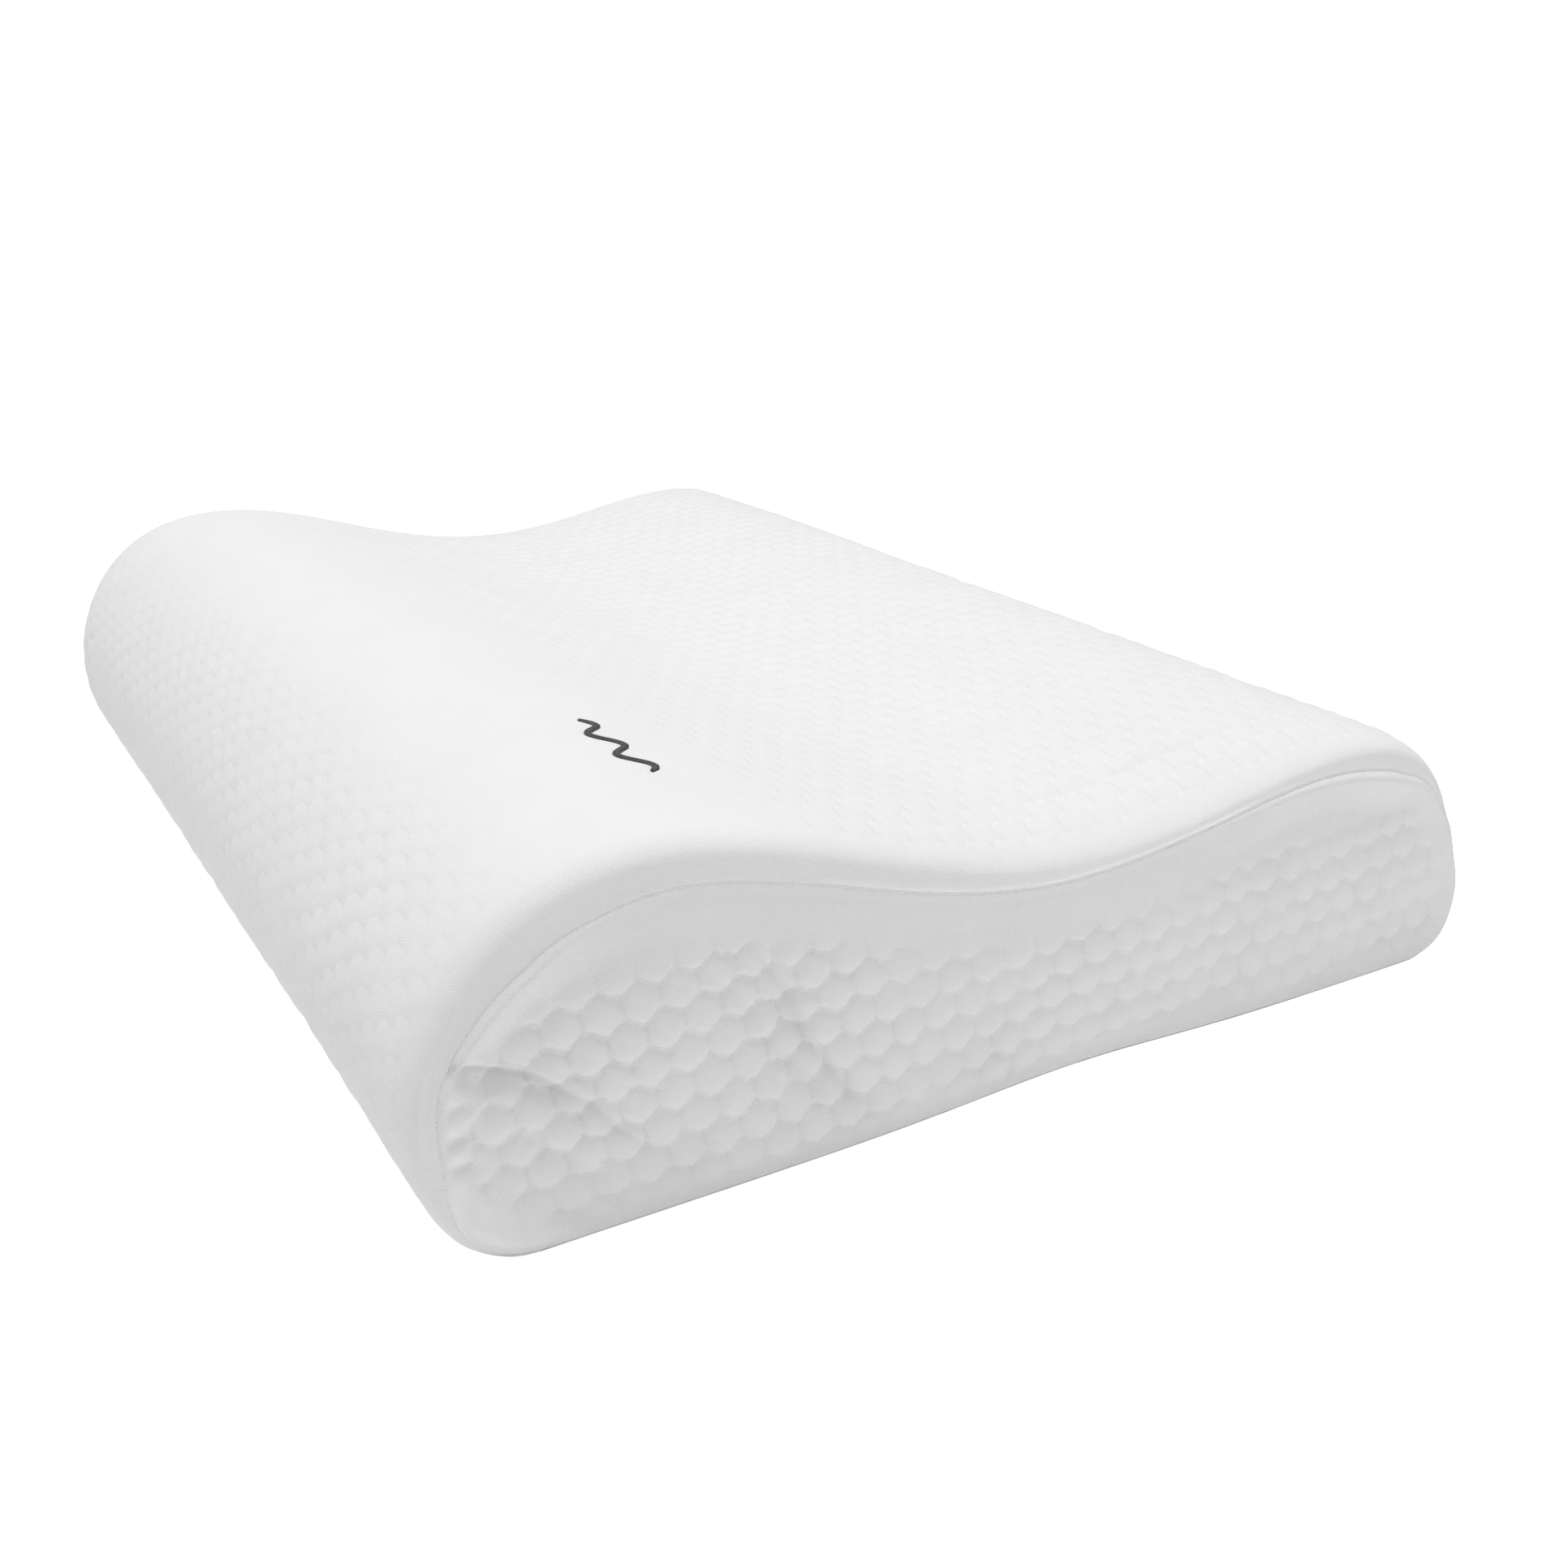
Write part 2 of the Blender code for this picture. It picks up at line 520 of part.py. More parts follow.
def build_pull_tab(slider):
    """A flat tab with an eye for the bridge and a slot near its tip, origin on its pivot bar."""
    mirrored = [(x, -y) for x, y in reversed(TAB_EDGE)]
    body = mirrored[-1:] + TAB_EDGE
    body += half_circle(-TAB_LENGTH + TAB_END_R, TAB_END_R, 90, TAB_END_STEPS)
    body += mirrored[:-1]
    eye = [(EYE_FROM, -EYE_HALF_W), (EYE_TO, -EYE_HALF_W),
           (EYE_TO, EYE_HALF_W), (EYE_FROM, EYE_HALF_W)]
    slot = half_circle(-TAB_LENGTH + TAB_SLOT_TO - TAB_SLOT_R, TAB_SLOT_R, -90, TAB_SLOT_STEPS)
    slot += half_circle(-TAB_LENGTH + TAB_SLOT_FROM + TAB_SLOT_R, TAB_SLOT_R, 90,
                        TAB_SLOT_STEPS)
    outlines = [[(x * MM, y * MM) for x, y in outline] for outline in (body, eye, slot)]

    # The filled curve becomes a mesh, so that its faces can be merged before the bevel.
    source = bpy.data.objects.new("zip_pull_tab_source",
                                  flat_curve("zip_pull_tab_outline", outlines, TAB_T))
    helpers.objects.link(source)
    bpy.context.view_layer.update()
    depsgraph = bpy.context.evaluated_depsgraph_get()
    mesh = bpy.data.meshes.new_from_object(source.evaluated_get(depsgraph))
    bm = bmesh.new()
    bm.from_mesh(mesh)
    bmesh.ops.remove_doubles(bm, verts=bm.verts, dist=0.00001)
    bmesh.ops.dissolve_limit(bm, angle_limit=math.radians(1), verts=bm.verts, edges=bm.edges)
    bmesh.ops.triangulate(bm, faces=[f for f in bm.faces if len(f.verts) > 4])
    bm.to_mesh(mesh)
    bm.free()
    mesh.name = "zip_pull_tab"
    bpy.data.objects.remove(source, do_unlink=True)

    tab = add_object("zip_pull_tab", mesh, tab_paint, slider)
    tab.location = (0.0, 0.0, PIVOT_H * MM)
    bevel_edges(tab, TAB_BEVEL, segments=1)


# ---- label and embroidery -------------------------------------------------------------------
def build_label():
    """Blank label at the top of the left end seam, origin on the line it hangs from."""
    point, normal = contour_at(arc_on_top(LABEL_Y))
    root = point - normal * (END_ROUND_IN + SEAM_IN)
    label = block("care_label", (-LABEL_T / 2, -LABEL_W / 2, -LABEL_L),
                  (LABEL_T / 2, LABEL_W / 2, 0.0), satin, frame, bevel=LABEL_BEVEL)
    label.location = (-(HALF_LENGTH + LABEL_OUT) * MM, root[0] * MM, root[1] * MM)


def build_mark():
    """Embroidered wave on the inner slope of the high lobe, near the right end."""
    mark_arc = arc_on_top(MARK_Y)
    amplitude = 0.5 * (MARK_HEIGHT - MARK_STROKE)
    rows = []
    for i in range(MARK_STEPS + 1):
        along = MARK_LENGTH * (i / MARK_STEPS - 0.5)
        phase = 2 * math.pi * MARK_WAVES * i / MARK_STEPS
        across = amplitude * math.sin(phase)
        slope = amplitude * 2 * math.pi * MARK_WAVES / MARK_LENGTH * math.cos(phase)
        steepness = math.hypot(1.0, slope)
        rows.append([
            surface_point(MARK_X + along - shift * slope / steepness,
                          mark_arc + across + shift / steepness,
                          MARK_LIFT + MARK_T)
            for shift in (-0.5 * MARK_STROKE, 0.5 * MARK_STROKE)])
    solidify(sheet("embroidered_mark", rows, grey_thread), MARK_T)


build_foam_core()
build_liner()
build_cover()
chain_frame = build_zip_frame()
build_chain(chain_frame)
build_pull_tab(build_slider(chain_frame))
build_label()
build_mark()
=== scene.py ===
"""Contour pillow: a quilted knit cover over a jersey liner and a foam core, built round the CAD frame.

Geometry is in millimetres; MM turns it into Blender's metres. +X runs along the length, +Y from
the high lobe to the low lobe, +Z up, with the origin at the middle of the underside. Right is +X,
left -X and front -Y; `side` is +1 for the right end and -1 for the left.
Arc length s runs round the section from the underside's front edge, up over the lobes and back
along the underside.
"""

import math

import bmesh
import bpy
import numpy as np
from mathutils import Matrix, Vector
from mathutils.geometry import delaunay_2d_cdt

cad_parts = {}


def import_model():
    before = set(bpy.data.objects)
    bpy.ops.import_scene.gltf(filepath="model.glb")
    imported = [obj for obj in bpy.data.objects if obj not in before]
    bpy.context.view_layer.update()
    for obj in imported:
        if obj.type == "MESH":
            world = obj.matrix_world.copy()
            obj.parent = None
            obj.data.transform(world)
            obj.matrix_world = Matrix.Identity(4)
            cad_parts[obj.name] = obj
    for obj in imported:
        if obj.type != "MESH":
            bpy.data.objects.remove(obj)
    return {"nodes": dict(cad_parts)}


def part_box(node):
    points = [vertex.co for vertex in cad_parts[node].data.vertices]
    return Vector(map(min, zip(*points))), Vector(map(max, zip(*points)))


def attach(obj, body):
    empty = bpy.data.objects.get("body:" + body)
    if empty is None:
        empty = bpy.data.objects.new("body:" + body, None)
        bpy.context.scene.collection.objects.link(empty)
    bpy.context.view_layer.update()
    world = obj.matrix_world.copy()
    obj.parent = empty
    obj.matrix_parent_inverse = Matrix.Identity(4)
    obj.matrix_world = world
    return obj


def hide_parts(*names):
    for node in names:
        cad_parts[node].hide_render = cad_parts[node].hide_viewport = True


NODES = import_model()["nodes"]
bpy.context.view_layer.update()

MM = 0.001
UV_PER_MM = 0.01
TURN = 2 * math.pi
HALF = 250.0                    # half the length
PITCH = 10.9                    # quilting cell, across the flats
CELL_RADIUS = 0.577 * PITCH
ZIP_Z = 34.0                    # height of the zip on the back face
SLOT_X, SLOT_S = 215.0, 6.0     # half the zip opening's length and width
STITCH_S = 8.2                  # from the zip's middle to its stitch line
MARK_X, MARK_Y = 174.0, -88.0   # middle of the embroidered mark

# section outline over the top: y, z
CONTOUR = (
    (-150.0, 0.0), (-170.0, 7.0), (-179.6, 27.0), (-178.3, 58.0), (-149.0, 96.5),
    (-106.0, 105.0), (-56.0, 93.2), (2.0, 78.4), (60.0, 78.6), (112.0, 85.1),
    (140.0, 83.2), (160.0, 74.5), (171.0, 59.0), (177.5, 38.0), (180.0, 19.0),
    (173.5, 5.0), (159.0, 0.0),
)


# ---- section ---------------------------------------------------------------------------------
def run_length(points):
    """Distance along a polyline at each of its points."""
    return np.concatenate([[0.0], np.cumsum(np.linalg.norm(np.diff(points, axis=0), axis=1))])


def cubic_through(points, count):
    """Points on a cubic spline through the given ones, tangent to the underside at both ends."""
    points = np.array(points, float)
    place = run_length(points)
    chord = np.linalg.norm(np.diff(points, axis=0), axis=1)
    slope = np.diff(points, axis=0) / chord[:, None]
    end = np.array((-1.0, 0.0))
    n = len(points)
    matrix, target = np.zeros((n, n)), np.zeros((n, 2))
    matrix[0, :2] = 2 * chord[0], chord[0]
    target[0] = 6 * (slope[0] - end)
    matrix[-1, -2:] = chord[-1], 2 * chord[-1]
    target[-1] = 6 * (end - slope[-1])
    for i in range(1, n - 1):
        matrix[i, i - 1:i + 2] = chord[i - 1], 2 * (chord[i - 1] + chord[i]), chord[i]
        target[i] = 6 * (slope[i] - slope[i - 1])
    bend = np.linalg.solve(matrix, target)
    u = np.linspace(0.0, place[-1], count)
    k = np.clip(np.searchsorted(place, u, side="right") - 1, 0, n - 2)
    span = chord[k]
    before, after = (place[k + 1] - u) / span, (u - place[k]) / span
    curve = (before ** 3 - before)[:, None] * bend[k] + (after ** 3 - after)[:, None] * bend[k + 1]
    return (before[:, None] * points[k] + after[:, None] * points[k + 1]
            + curve * (span ** 2)[:, None] / 6)


TOP = cubic_through(CONTOUR, 6000)
DENSE = np.concatenate([TOP, np.linspace(TOP[-1], TOP[0], 1200)[1:]])
DENSE[:, 1] = np.maximum(DENSE[:, 1], 0.0)
ARC = run_length(DENSE)
PERIMETER = float(ARC[-1])
S_FLAT = float(ARC[len(TOP) - 1])       # where the flat underside starts
TANGENT = np.gradient(DENSE, ARC, axis=0)
TANGENT /= np.linalg.norm(TANGENT, axis=1)[:, None]
NORMAL = np.stack([-TANGENT[:, 1], TANGENT[:, 0]], axis=1)


def contour_at(s):
    """Point and outward normal of the section at arc lengths s."""
    s = np.mod(np.asarray(s, float), PERIMETER)
    point, normal = (np.stack([np.interp(s, ARC, table[:, k]) for k in (0, 1)], axis=-1)
                     for table in (DENSE, NORMAL))
    return point, normal / np.linalg.norm(normal, axis=-1, keepdims=True)


def on_surface(s, h, x):
    """Points at arc length s, height h above the section and x along the length."""
    point, normal = contour_at(s)
    raised = point + normal * np.asarray(h, float)[..., None]
    x = np.asarray(x, float) + np.zeros(raised.shape[:-1])
    return np.stack([x, raised[..., 0], raised[..., 1]], axis=-1)


def arc_near(y, z):
    return float(ARC[np.argmin((DENSE[:, 0] - y) ** 2 + (DENSE[:, 1] - z) ** 2)])


def arc_where(allowed, distance):
    """Arc length of the allowed point over the top with the least distance."""
    return float(ARC[np.argmin(np.where(allowed, distance, np.inf))])


ZIP_S = arc_where(TOP[:, 0] > 120.0, np.abs(TOP[:, 1] - ZIP_Z))
MARK_S = arc_where(TOP[:, 1] > 60.0, np.abs(TOP[:, 0] - MARK_Y))


# ---- shaping functions -----------------------------------------------------------------------
def ease(v):
    """Smooth step from 0 to 1."""
    v = np.clip(v, 0.0, 1.0)
    return v * v * (3.0 - 2.0 * v)


def bell(offset, width, power=2):
    """1 in the middle, falling off over the width."""
    return np.exp(-(offset / width) ** power)


def around(table, s):
    """Smoothed values round the section from (y, z, value) entries."""
    places = np.array([arc_near(y, z) for y, z, _ in table])
    values = np.array([value for _, _, value in table])
    order = np.argsort(places)
    places, values = places[order], values[order]
    places = np.concatenate([places - PERIMETER, places, places + PERIMETER])
    values = np.concatenate([values, values, values])
    fine = np.linspace(-60.0, PERIMETER + 60.0, 4000)
    kernel = np.hanning(81)
    kernel /= kernel.sum()
    raw = np.pad(np.interp(fine, places, values), 40, mode="edge")
    return np.interp(np.mod(s, PERIMETER), fine, np.convolve(raw, kernel, mode="valid"))


def waves(x, y, seed, size, octaves=3):
    """Smooth pseudo-random field, about -1 to 1, with features of the given size."""
    draw = np.random.default_rng(seed)
    out, total = np.zeros(np.broadcast(x, y).shape), 0.0
    for octave in range(octaves):
        weight = 0.55 ** octave
        for _ in range(6):
            angle, phase = draw.uniform(0, TURN), draw.uniform(0, TURN)
            rate = TURN / (size / (1.8 ** octave)) * draw.uniform(0.7, 1.3)
            out = out + weight * np.sin(rate * (x * math.cos(angle) + y * math.sin(angle)) + phase)
        total += weight * 2.4
    return out / total


def hexes(across, along):
    """Honeycomb: a steady random number per cell, and the place in the cell."""
    def nearest(shift):
        i = np.round(across / (math.sqrt(3) * PITCH) - shift)
        j = np.round(along / PITCH - shift)
        return (across - (i + shift) * math.sqrt(3) * PITCH, along - (j + shift) * PITCH,
                i * 2 + 2 * shift, j * 2 + 2 * shift)
    one, two = nearest(0.0), nearest(0.5)
    first = one[0] ** 2 + one[1] ** 2 < two[0] ** 2 + two[1] ** 2
    in_across, in_along, i, j = (np.where(first, a, b) for a, b in zip(one, two))
    return np.mod(np.sin(i * 12.9898 + j * 78.233) * 43758.5453, 1.0), in_across, in_along


def cushion(across, along, lean=(0.0, 0.0)):
    """Height of a quilted cell: a round cap that meets its neighbours in sharp valleys."""
    share = (across ** 2 + along ** 2) / CELL_RADIUS ** 2
    return (1.0 - np.clip(share, 0.0, 1.0) ** 0.95
            + (lean[0] * across + lean[1] * along) / PITCH)


def polyline_distance(y, z, points):
    """Distance to a polyline, the side (+1 is its left), and the share of its length there."""
    points = np.array(points, float)
    run = run_length(points)
    best, side, where = np.full(y.shape, 1e9), np.ones(y.shape), np.zeros(y.shape)
    for k in range(len(points) - 1):
        length = np.linalg.norm(points[k + 1] - points[k])
        ahead = (points[k + 1] - points[k]) / length
        dy, dz = y - points[k, 0], z - points[k, 1]
        t = np.clip(dy * ahead[0] + dz * ahead[1], 0.0, length)
        dist = np.hypot(dy - t * ahead[0], dz - t * ahead[1])
        closer = dist < best
        best = np.where(closer, dist, best)
        side = np.where(closer, np.sign(ahead[0] * dz - ahead[1] * dy), side)
        where = np.where(closer, (run[k] + t) / run[-1], where)
    return best, side, where


# ---- end seams and roundovers ----------------------------------------------------------------
# each table here: y, z of a place on the section, then the value there

# how far in from the section the end seam lies
SEAM_INSET = {
    1: ((-100, 0, 0.5), (-150, 1, 0.6), (-168, 7, 2.6), (-179, 30, 7.5), (-179, 55, 7.5),
        (-172, 75, 11.5), (-158, 92, 15.0), (-130, 103, 15.4), (-106, 105, 13.6),
        (-56, 93, 13.0), (-20, 82, 13.8), (15, 77, 14.2), (60, 78.6, 12.6), (112, 85, 11.2),
        (140, 83, 11.4), (158, 76, 10.6), (168, 65, 6.2), (175, 48, 2.8), (179, 25, 1.8),
        (172, 4, 1.0), (140, 0, 0.5), (0, 0, 0.5)),
    -1: ((-100, 0, 3.2), (-160, 2, 4.0), (-175, 14, 6.0), (-179, 40, 9.0), (-149, 96, 10.0),
         (-106, 105, 10.0), (0, 78, 10.5), (112, 85, 10.0), (140, 83, 10.0), (160, 74, 8.5),
         (171, 59, 5.5), (178, 38, 3.8), (172, 4, 3.4), (140, 0, 3.2), (0, 0, 3.2)),
}
# over what length the wrap panel rounds over to the seam
ROUND_LENGTH = {
    1: ((-100, 0, 1.2), (-152, 1, 1.8), (-175, 14, 8.0), (-179, 35, 13.0), (-178, 58, 15.0),
        (-149, 96, 16.0), (-106, 105, 16.0), (-40, 87, 17.0), (10, 78, 24.0), (60, 78.6, 29.0),
        (112, 85, 27.0), (140, 83, 20.0), (160, 74, 13.0), (171, 59, 6.0), (178, 38, 3.2),
        (172, 4, 2.0), (140, 0, 1.2), (0, 0, 1.2)),
    -1: ((-100, 0, 4.2), (-160, 2, 5.0), (-175, 14, 11.0), (-179, 40, 21.0), (-149, 96, 24.0),
         (-106, 105, 22.0), (0, 78, 20.0), (112, 85, 18.0), (140, 83, 17.0), (160, 74, 14.0),
         (171, 59, 8.0), (178, 38, 5.0), (172, 4, 4.6), (140, 0, 4.2), (0, 0, 4.2)),
}
# power of the roundover's curve: higher is squarer
SQUARENESS = (
    (-100, 0, 2.6), (-179, 40, 2.7), (-149, 96, 3.1), (-106, 105, 3.4), (-56, 93, 4.0),
    (2, 78, 6.0), (60, 78.6, 7.0), (112, 85, 6.5), (140, 83, 4.2), (171, 59, 2.4),
    (179, 25, 2.2), (0, 0, 2.4))
# share of the drop that comes as a slow droop before the shoulder
DROOP = (
    (-100, 0, 0.0), (-179, 40, 0.05), (-149, 96, 0.08), (-106, 105, 0.14), (-56, 93, 0.26),
    (2, 78, 0.52), (60, 78.6, 0.66), (112, 85, 0.62), (140, 83, 0.36), (171, 59, 0.1),
    (179, 25, 0.0), (0, 0, 0.0))
# how far the end panel's rolled rim stands out beside the seam
RIM_PROUD = (
    (-100, 0, 0.45), (-160, 2, 0.5), (-179, 30, 0.8), (-179, 55, 1.7), (-160, 90, 2.0),
    (-138, 101, 1.0), (-106, 105, 0.35), (-40, 88, 0.3), (60, 78, 0.4), (105, 84, 1.2),
    (140, 83, 1.9), (165, 68, 1.5), (175, 48, 0.8), (179, 25, 0.5), (0, 0, 0.45))
# how wide the rolled rim is, beside its plain width
RIM_WIDTH = (
    (-100, 0, 1.0), (-179, 40, 1.0), (-172, 75, 1.5), (-150, 96, 1.5), (-106, 105, 1.0),
    (60, 78, 1.0), (112, 85, 1.6), (150, 80, 1.8), (170, 60, 1.3), (179, 25, 1.0), (0, 0, 1.0))

# roundover rings: even steps along the length, then even steps of the remaining drop
RUN_STEPS, DROP_STEPS = np.linspace(0.0, 0.86, 8), np.linspace(0.0, 1.0, 7)[1:]
# last rings, over the shoulder and down into the seam: back from the end plane, past the seam line
TUCK_RINGS = ((-0.06, -0.95), (-0.03, -0.60), (0.02, -0.32), (0.13, -0.08), (0.38, 0.10),
              (1.1, 0.22), (2.2, 0.24))
PINCH_S = arc_near(-178.4, 60.6)        # where the longest crease runs into the right seam


def seam_inset(s, side):
    return around(SEAM_INSET[side], s)


def rim_height(s, side):
    height = around(RIM_PROUD, s)
    if side > 0:
        height = height * (1.0 - 0.75 * bell(np.mod(s, PERIMETER) - PINCH_S, 2.4))
    return height


def seam_gap(inward):
    """Share of the full seam width; less where the seam lies close to the edge."""
    return np.clip(inward / 6.0, 0.3, 1.0)


def tight_corner(inward):
    """1 where the seam lies right at the section's edge, 0 elsewhere."""
    return ease((1.6 - inward) / 1.0)


def end_profile(s, side):
    """Distances back from the end plane and in from the section: both (rings, len(s))."""
    length, inward = around(ROUND_LENGTH[side], s), seam_inset(s, side)
    power, droop = around(SQUARENESS, s), around(DROOP, s)
    soft = ease((inward - 3.0) / 6.0)
    curve = [(run, 1.0 - (1.0 - run ** power) ** (1.0 / power)) for run in RUN_STEPS]
    last = curve[-1][1]
    for step in DROP_STEPS:
        drop = last + (1.0 - last) * step
        run = (1.0 - np.clip(1.0 - drop, 0.0, 1.0) ** power) ** (1.0 / power)
        curve.append((run, drop))
    back, inset = [], []
    for run, drop in curve:
        drop = drop * (1.0 - droop) + droop * run ** 2
        undercut = 0.4 * bell(drop - 0.72, 0.18) * soft
        back.append(length * (1.0 - run) + undercut)
        inset.append(np.maximum(inward - 1.3, 0.25 * inward) * drop)
    for behind, past in TUCK_RINGS:
        back.append(behind + 0.5 * tight_corner(inward))
        inset.append(inward + past * seam_gap(inward))
    return np.array(back), np.array(inset)


def shape_right_end(points, floor=-math.inf):
    """Lifts the right end's bottom edge off the floor in the middle and leans its foot outward."""
    x, y, z = points[..., 0], points[..., 1], points[..., 2]
    arch = (2.9 * bell(y - 22.0, 48.0) * np.clip(1.0 - z / 50.0, 0.0, 1.0)
            * bell(HALF - np.minimum(x, HALF), 42.0))
    points[..., 2] = np.maximum(z + arch, floor)
    near_end = np.exp(-np.clip(HALF - np.abs(x), 0.0, None) / 25.0) * (x > 0)
    points[..., 0] += 1.0 * near_end * np.exp(-points[..., 2] / 26.0)


# ---- meshes ----------------------------------------------------------------------------------
def mesh_object(name, verts, faces, material=None, fabric=None, attributes=None):
    """A smooth mesh object from millimetres.

    fabric is a place on the cloth per vertex in mm; attributes are named per-vertex floats.
    """
    mesh = bpy.data.meshes.new(name)
    verts = np.asarray(verts, float) * MM
    mesh.vertices.add(len(verts))
    mesh.vertices.foreach_set("co", verts.astype(np.float32).ravel())
    corners = np.concatenate(faces).astype(np.int32)
    starts = np.concatenate([[0], np.cumsum([len(f) for f in faces])[:-1]]).astype(np.int32)
    mesh.loops.add(len(corners))
    mesh.loops.foreach_set("vertex_index", corners)
    mesh.polygons.add(len(starts))
    mesh.polygons.foreach_set("loop_start", starts)
    mesh.update(calc_edges=True)
    mesh.validate()
    if fabric is not None:
        layer = mesh.uv_layers.new(name="fabric")
        index = np.zeros(len(mesh.loops), np.int32)
        mesh.loops.foreach_get("vertex_index", index)
        uv = (np.asarray(fabric) * UV_PER_MM).astype(np.float32)
        layer.data.foreach_set("uv", uv[index].ravel())
    for key, values in (attributes or {}).items():
        attribute = mesh.attributes.new(key, "FLOAT", "POINT")
        attribute.data.foreach_set("value", np.asarray(values, np.float32).ravel())
    if material:
        mesh.materials.append(material)
    mesh.shade_smooth()
    ob = bpy.data.objects.new(name, mesh)
    bpy.context.scene.collection.objects.link(ob)
    return ob


def settle(ob, body, slot, *nodes):
    """Tells the frame what the object rides on and hides the nodes it replaces; slot is not used."""
    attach(ob, body)
    if nodes:
        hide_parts(*nodes)


def outward(ob, centre=(0.0, 0.0, 0.04)):
    """Turns all of a mesh's faces together so that most point away from the centre, in metres."""
    polygons = ob.data.polygons
    middle, normal = np.zeros((2, len(polygons) * 3), np.float32)
    area = np.zeros(len(polygons), np.float32)
    polygons.foreach_get("center", middle)
    polygons.foreach_get("normal", normal)
    polygons.foreach_get("area", area)
    away = (middle.reshape(-1, 3) - np.array(centre)) * normal.reshape(-1, 3)
    if (away.sum(1) * area).sum() < 0:
        ob.data.flip_normals()
    return ob


def recalculate_normals(ob, split_caps=False):
    """Makes face directions agree; optionally cuts faces of many corners into triangles."""
    bm = bmesh.new()
    bm.from_mesh(ob.data)
    if split_caps:
        bmesh.ops.triangulate(bm, faces=[f for f in bm.faces if len(f.verts) > 4])
    bmesh.ops.recalc_face_normals(bm, faces=bm.faces)
    bm.to_mesh(ob.data)
    bm.free()
    ob.data.shade_smooth()


def quad_grid(index, close_rows=False, close_cols=False):
    """Quads over a grid of vertex numbers, one per cell."""
    if close_rows:
        index = np.vstack([index, index[:1]])
    if close_cols:
        index = np.hstack([index, index[:, :1]])
    return np.stack([index[:-1, :-1], index[:-1, 1:], index[1:, 1:], index[1:, :-1]], -1)


def double_sheet(rows, cols):
    """Quads of two grids of the same size, one numbered after the other, joined at their edges."""
    top = np.arange(rows * cols).reshape(rows, cols)
    low = top + rows * cols
    skins = np.stack([quad_grid(top), quad_grid(low)[..., [0, 3, 2, 1]]], 2)

    def border(first, last):
        """Strips along two opposite edges, given as (top, low) vertex rows."""
        (a, c), (b, d) = first, last
        one = np.stack([a[:-1], a[1:], c[1:], c[:-1]], -1)
        two = np.stack([b[:-1], d[:-1], d[1:], b[1:]], -1)
        return one, two

    sides = np.stack(border((top[:, 0], low[:, 0]), (top[:, -1], low[:, -1])), 1)
    final, initial = border((top[-1], low[-1]), (top[0], low[0]))
    ends = np.stack([initial, final], 1)
    return np.concatenate([part.reshape(-1, 4) for part in (skins, sides, ends)])


def tube_mesh(paths, radius, sides, closed):
    """Tubes along many paths: vertices, faces, and (turns round, length along) per vertex."""
    verts, faces, fabric, base = [], [], [], 0
    ring = np.linspace(0, TURN, sides, endpoint=False)
    for path in paths:
        path = np.asarray(path, float)
        count = len(path)
        if closed:
            along = np.roll(path, -1, 0) - np.roll(path, 1, 0)
        else:
            along = np.gradient(path, axis=0)
        along /= np.linalg.norm(along, axis=1)[:, None] + 1e-12
        carried = np.array([0.0, 0.0, 1.0] if abs(along[0, 2]) < 0.9 else [0.0, 1.0, 0.0])
        up = np.empty_like(path)
        for i in range(count):                      # carried along the path, so it never flips
            carried = carried - along[i] * (carried @ along[i])
            carried = carried / (np.linalg.norm(carried) + 1e-12)
            up[i] = carried
        beside = np.cross(along, up)
        radii = np.full(count, float(radius))
        if not closed:
            radii[[0, -1]] *= 0.45                  # tapered ends
        circle = (np.cos(ring)[None, :, None] * beside[:, None, :]
                  + np.sin(ring)[None, :, None] * up[:, None, :])
        verts.append((path[:, None, :] + circle * radii[:, None, None]).reshape(-1, 3))
        turns = np.tile(ring / TURN, (count, 1))
        lengths = np.tile(run_length(path)[:, None], (1, sides))
        fabric.append(np.stack([turns, lengths], -1).reshape(-1, 2))
        index = base + np.arange(count * sides).reshape(count, sides)
        faces += quad_grid(index, closed, True).reshape(-1, 4).tolist()
        if not closed:
            faces += [index[0, ::-1].tolist(), index[-1].tolist()]
        base += count * sides
    return np.concatenate(verts), faces, np.concatenate(fabric)


def tube_object(name, paths, radius, sides, material, closed=False, floor=-math.inf):
    verts, faces, fabric = tube_mesh(paths, radius, sides, closed)
    verts[:, 2] = np.maximum(verts[:, 2], floor)
    return mesh_object(name, verts, faces, material, fabric)


def inside_points(loop, pitch, margin):
    """Triangular lattice points at least margin inside a closed loop, and their distances to it."""
    lo, hi = loop.min(0), loop.max(0)
    ys = np.arange(lo[0] - 5, hi[0] + 5, pitch)
    zs = np.arange(lo[1] - 5, hi[1] + 5, pitch * math.sqrt(3) / 2)
    grid_y, grid_z = np.meshgrid(ys, zs, indexing="ij")
    grid_y = grid_y + (np.arange(len(zs)) % 2)[None, :] * pitch / 2
    y, z = grid_y.ravel(), grid_z.ravel()
    inside = np.zeros(len(y), bool)
    best = np.full(len(y), 1e9)
    for (y0, z0), (y1, z1) in zip(loop, np.roll(loop, -1, 0)):
        if z1 != z0:
            inside ^= ((z0 > z) != (z1 > z)) & (y < (y1 - y0) * (z - z0) / (z1 - z0) + y0)
        dy, dz = y1 - y0, z1 - z0
        square = dy * dy + dz * dz + 1e-12
        t = np.clip(((y - y0) * dy + (z - z0) * dz) / square, 0, 1)
        best = np.minimum(best, (y - y0 - t * dy) ** 2 + (z - z0 - t * dz) ** 2)
    keep = inside & (best > margin * margin)
    return np.stack([y[keep], z[keep]], 1), np.sqrt(best[keep])


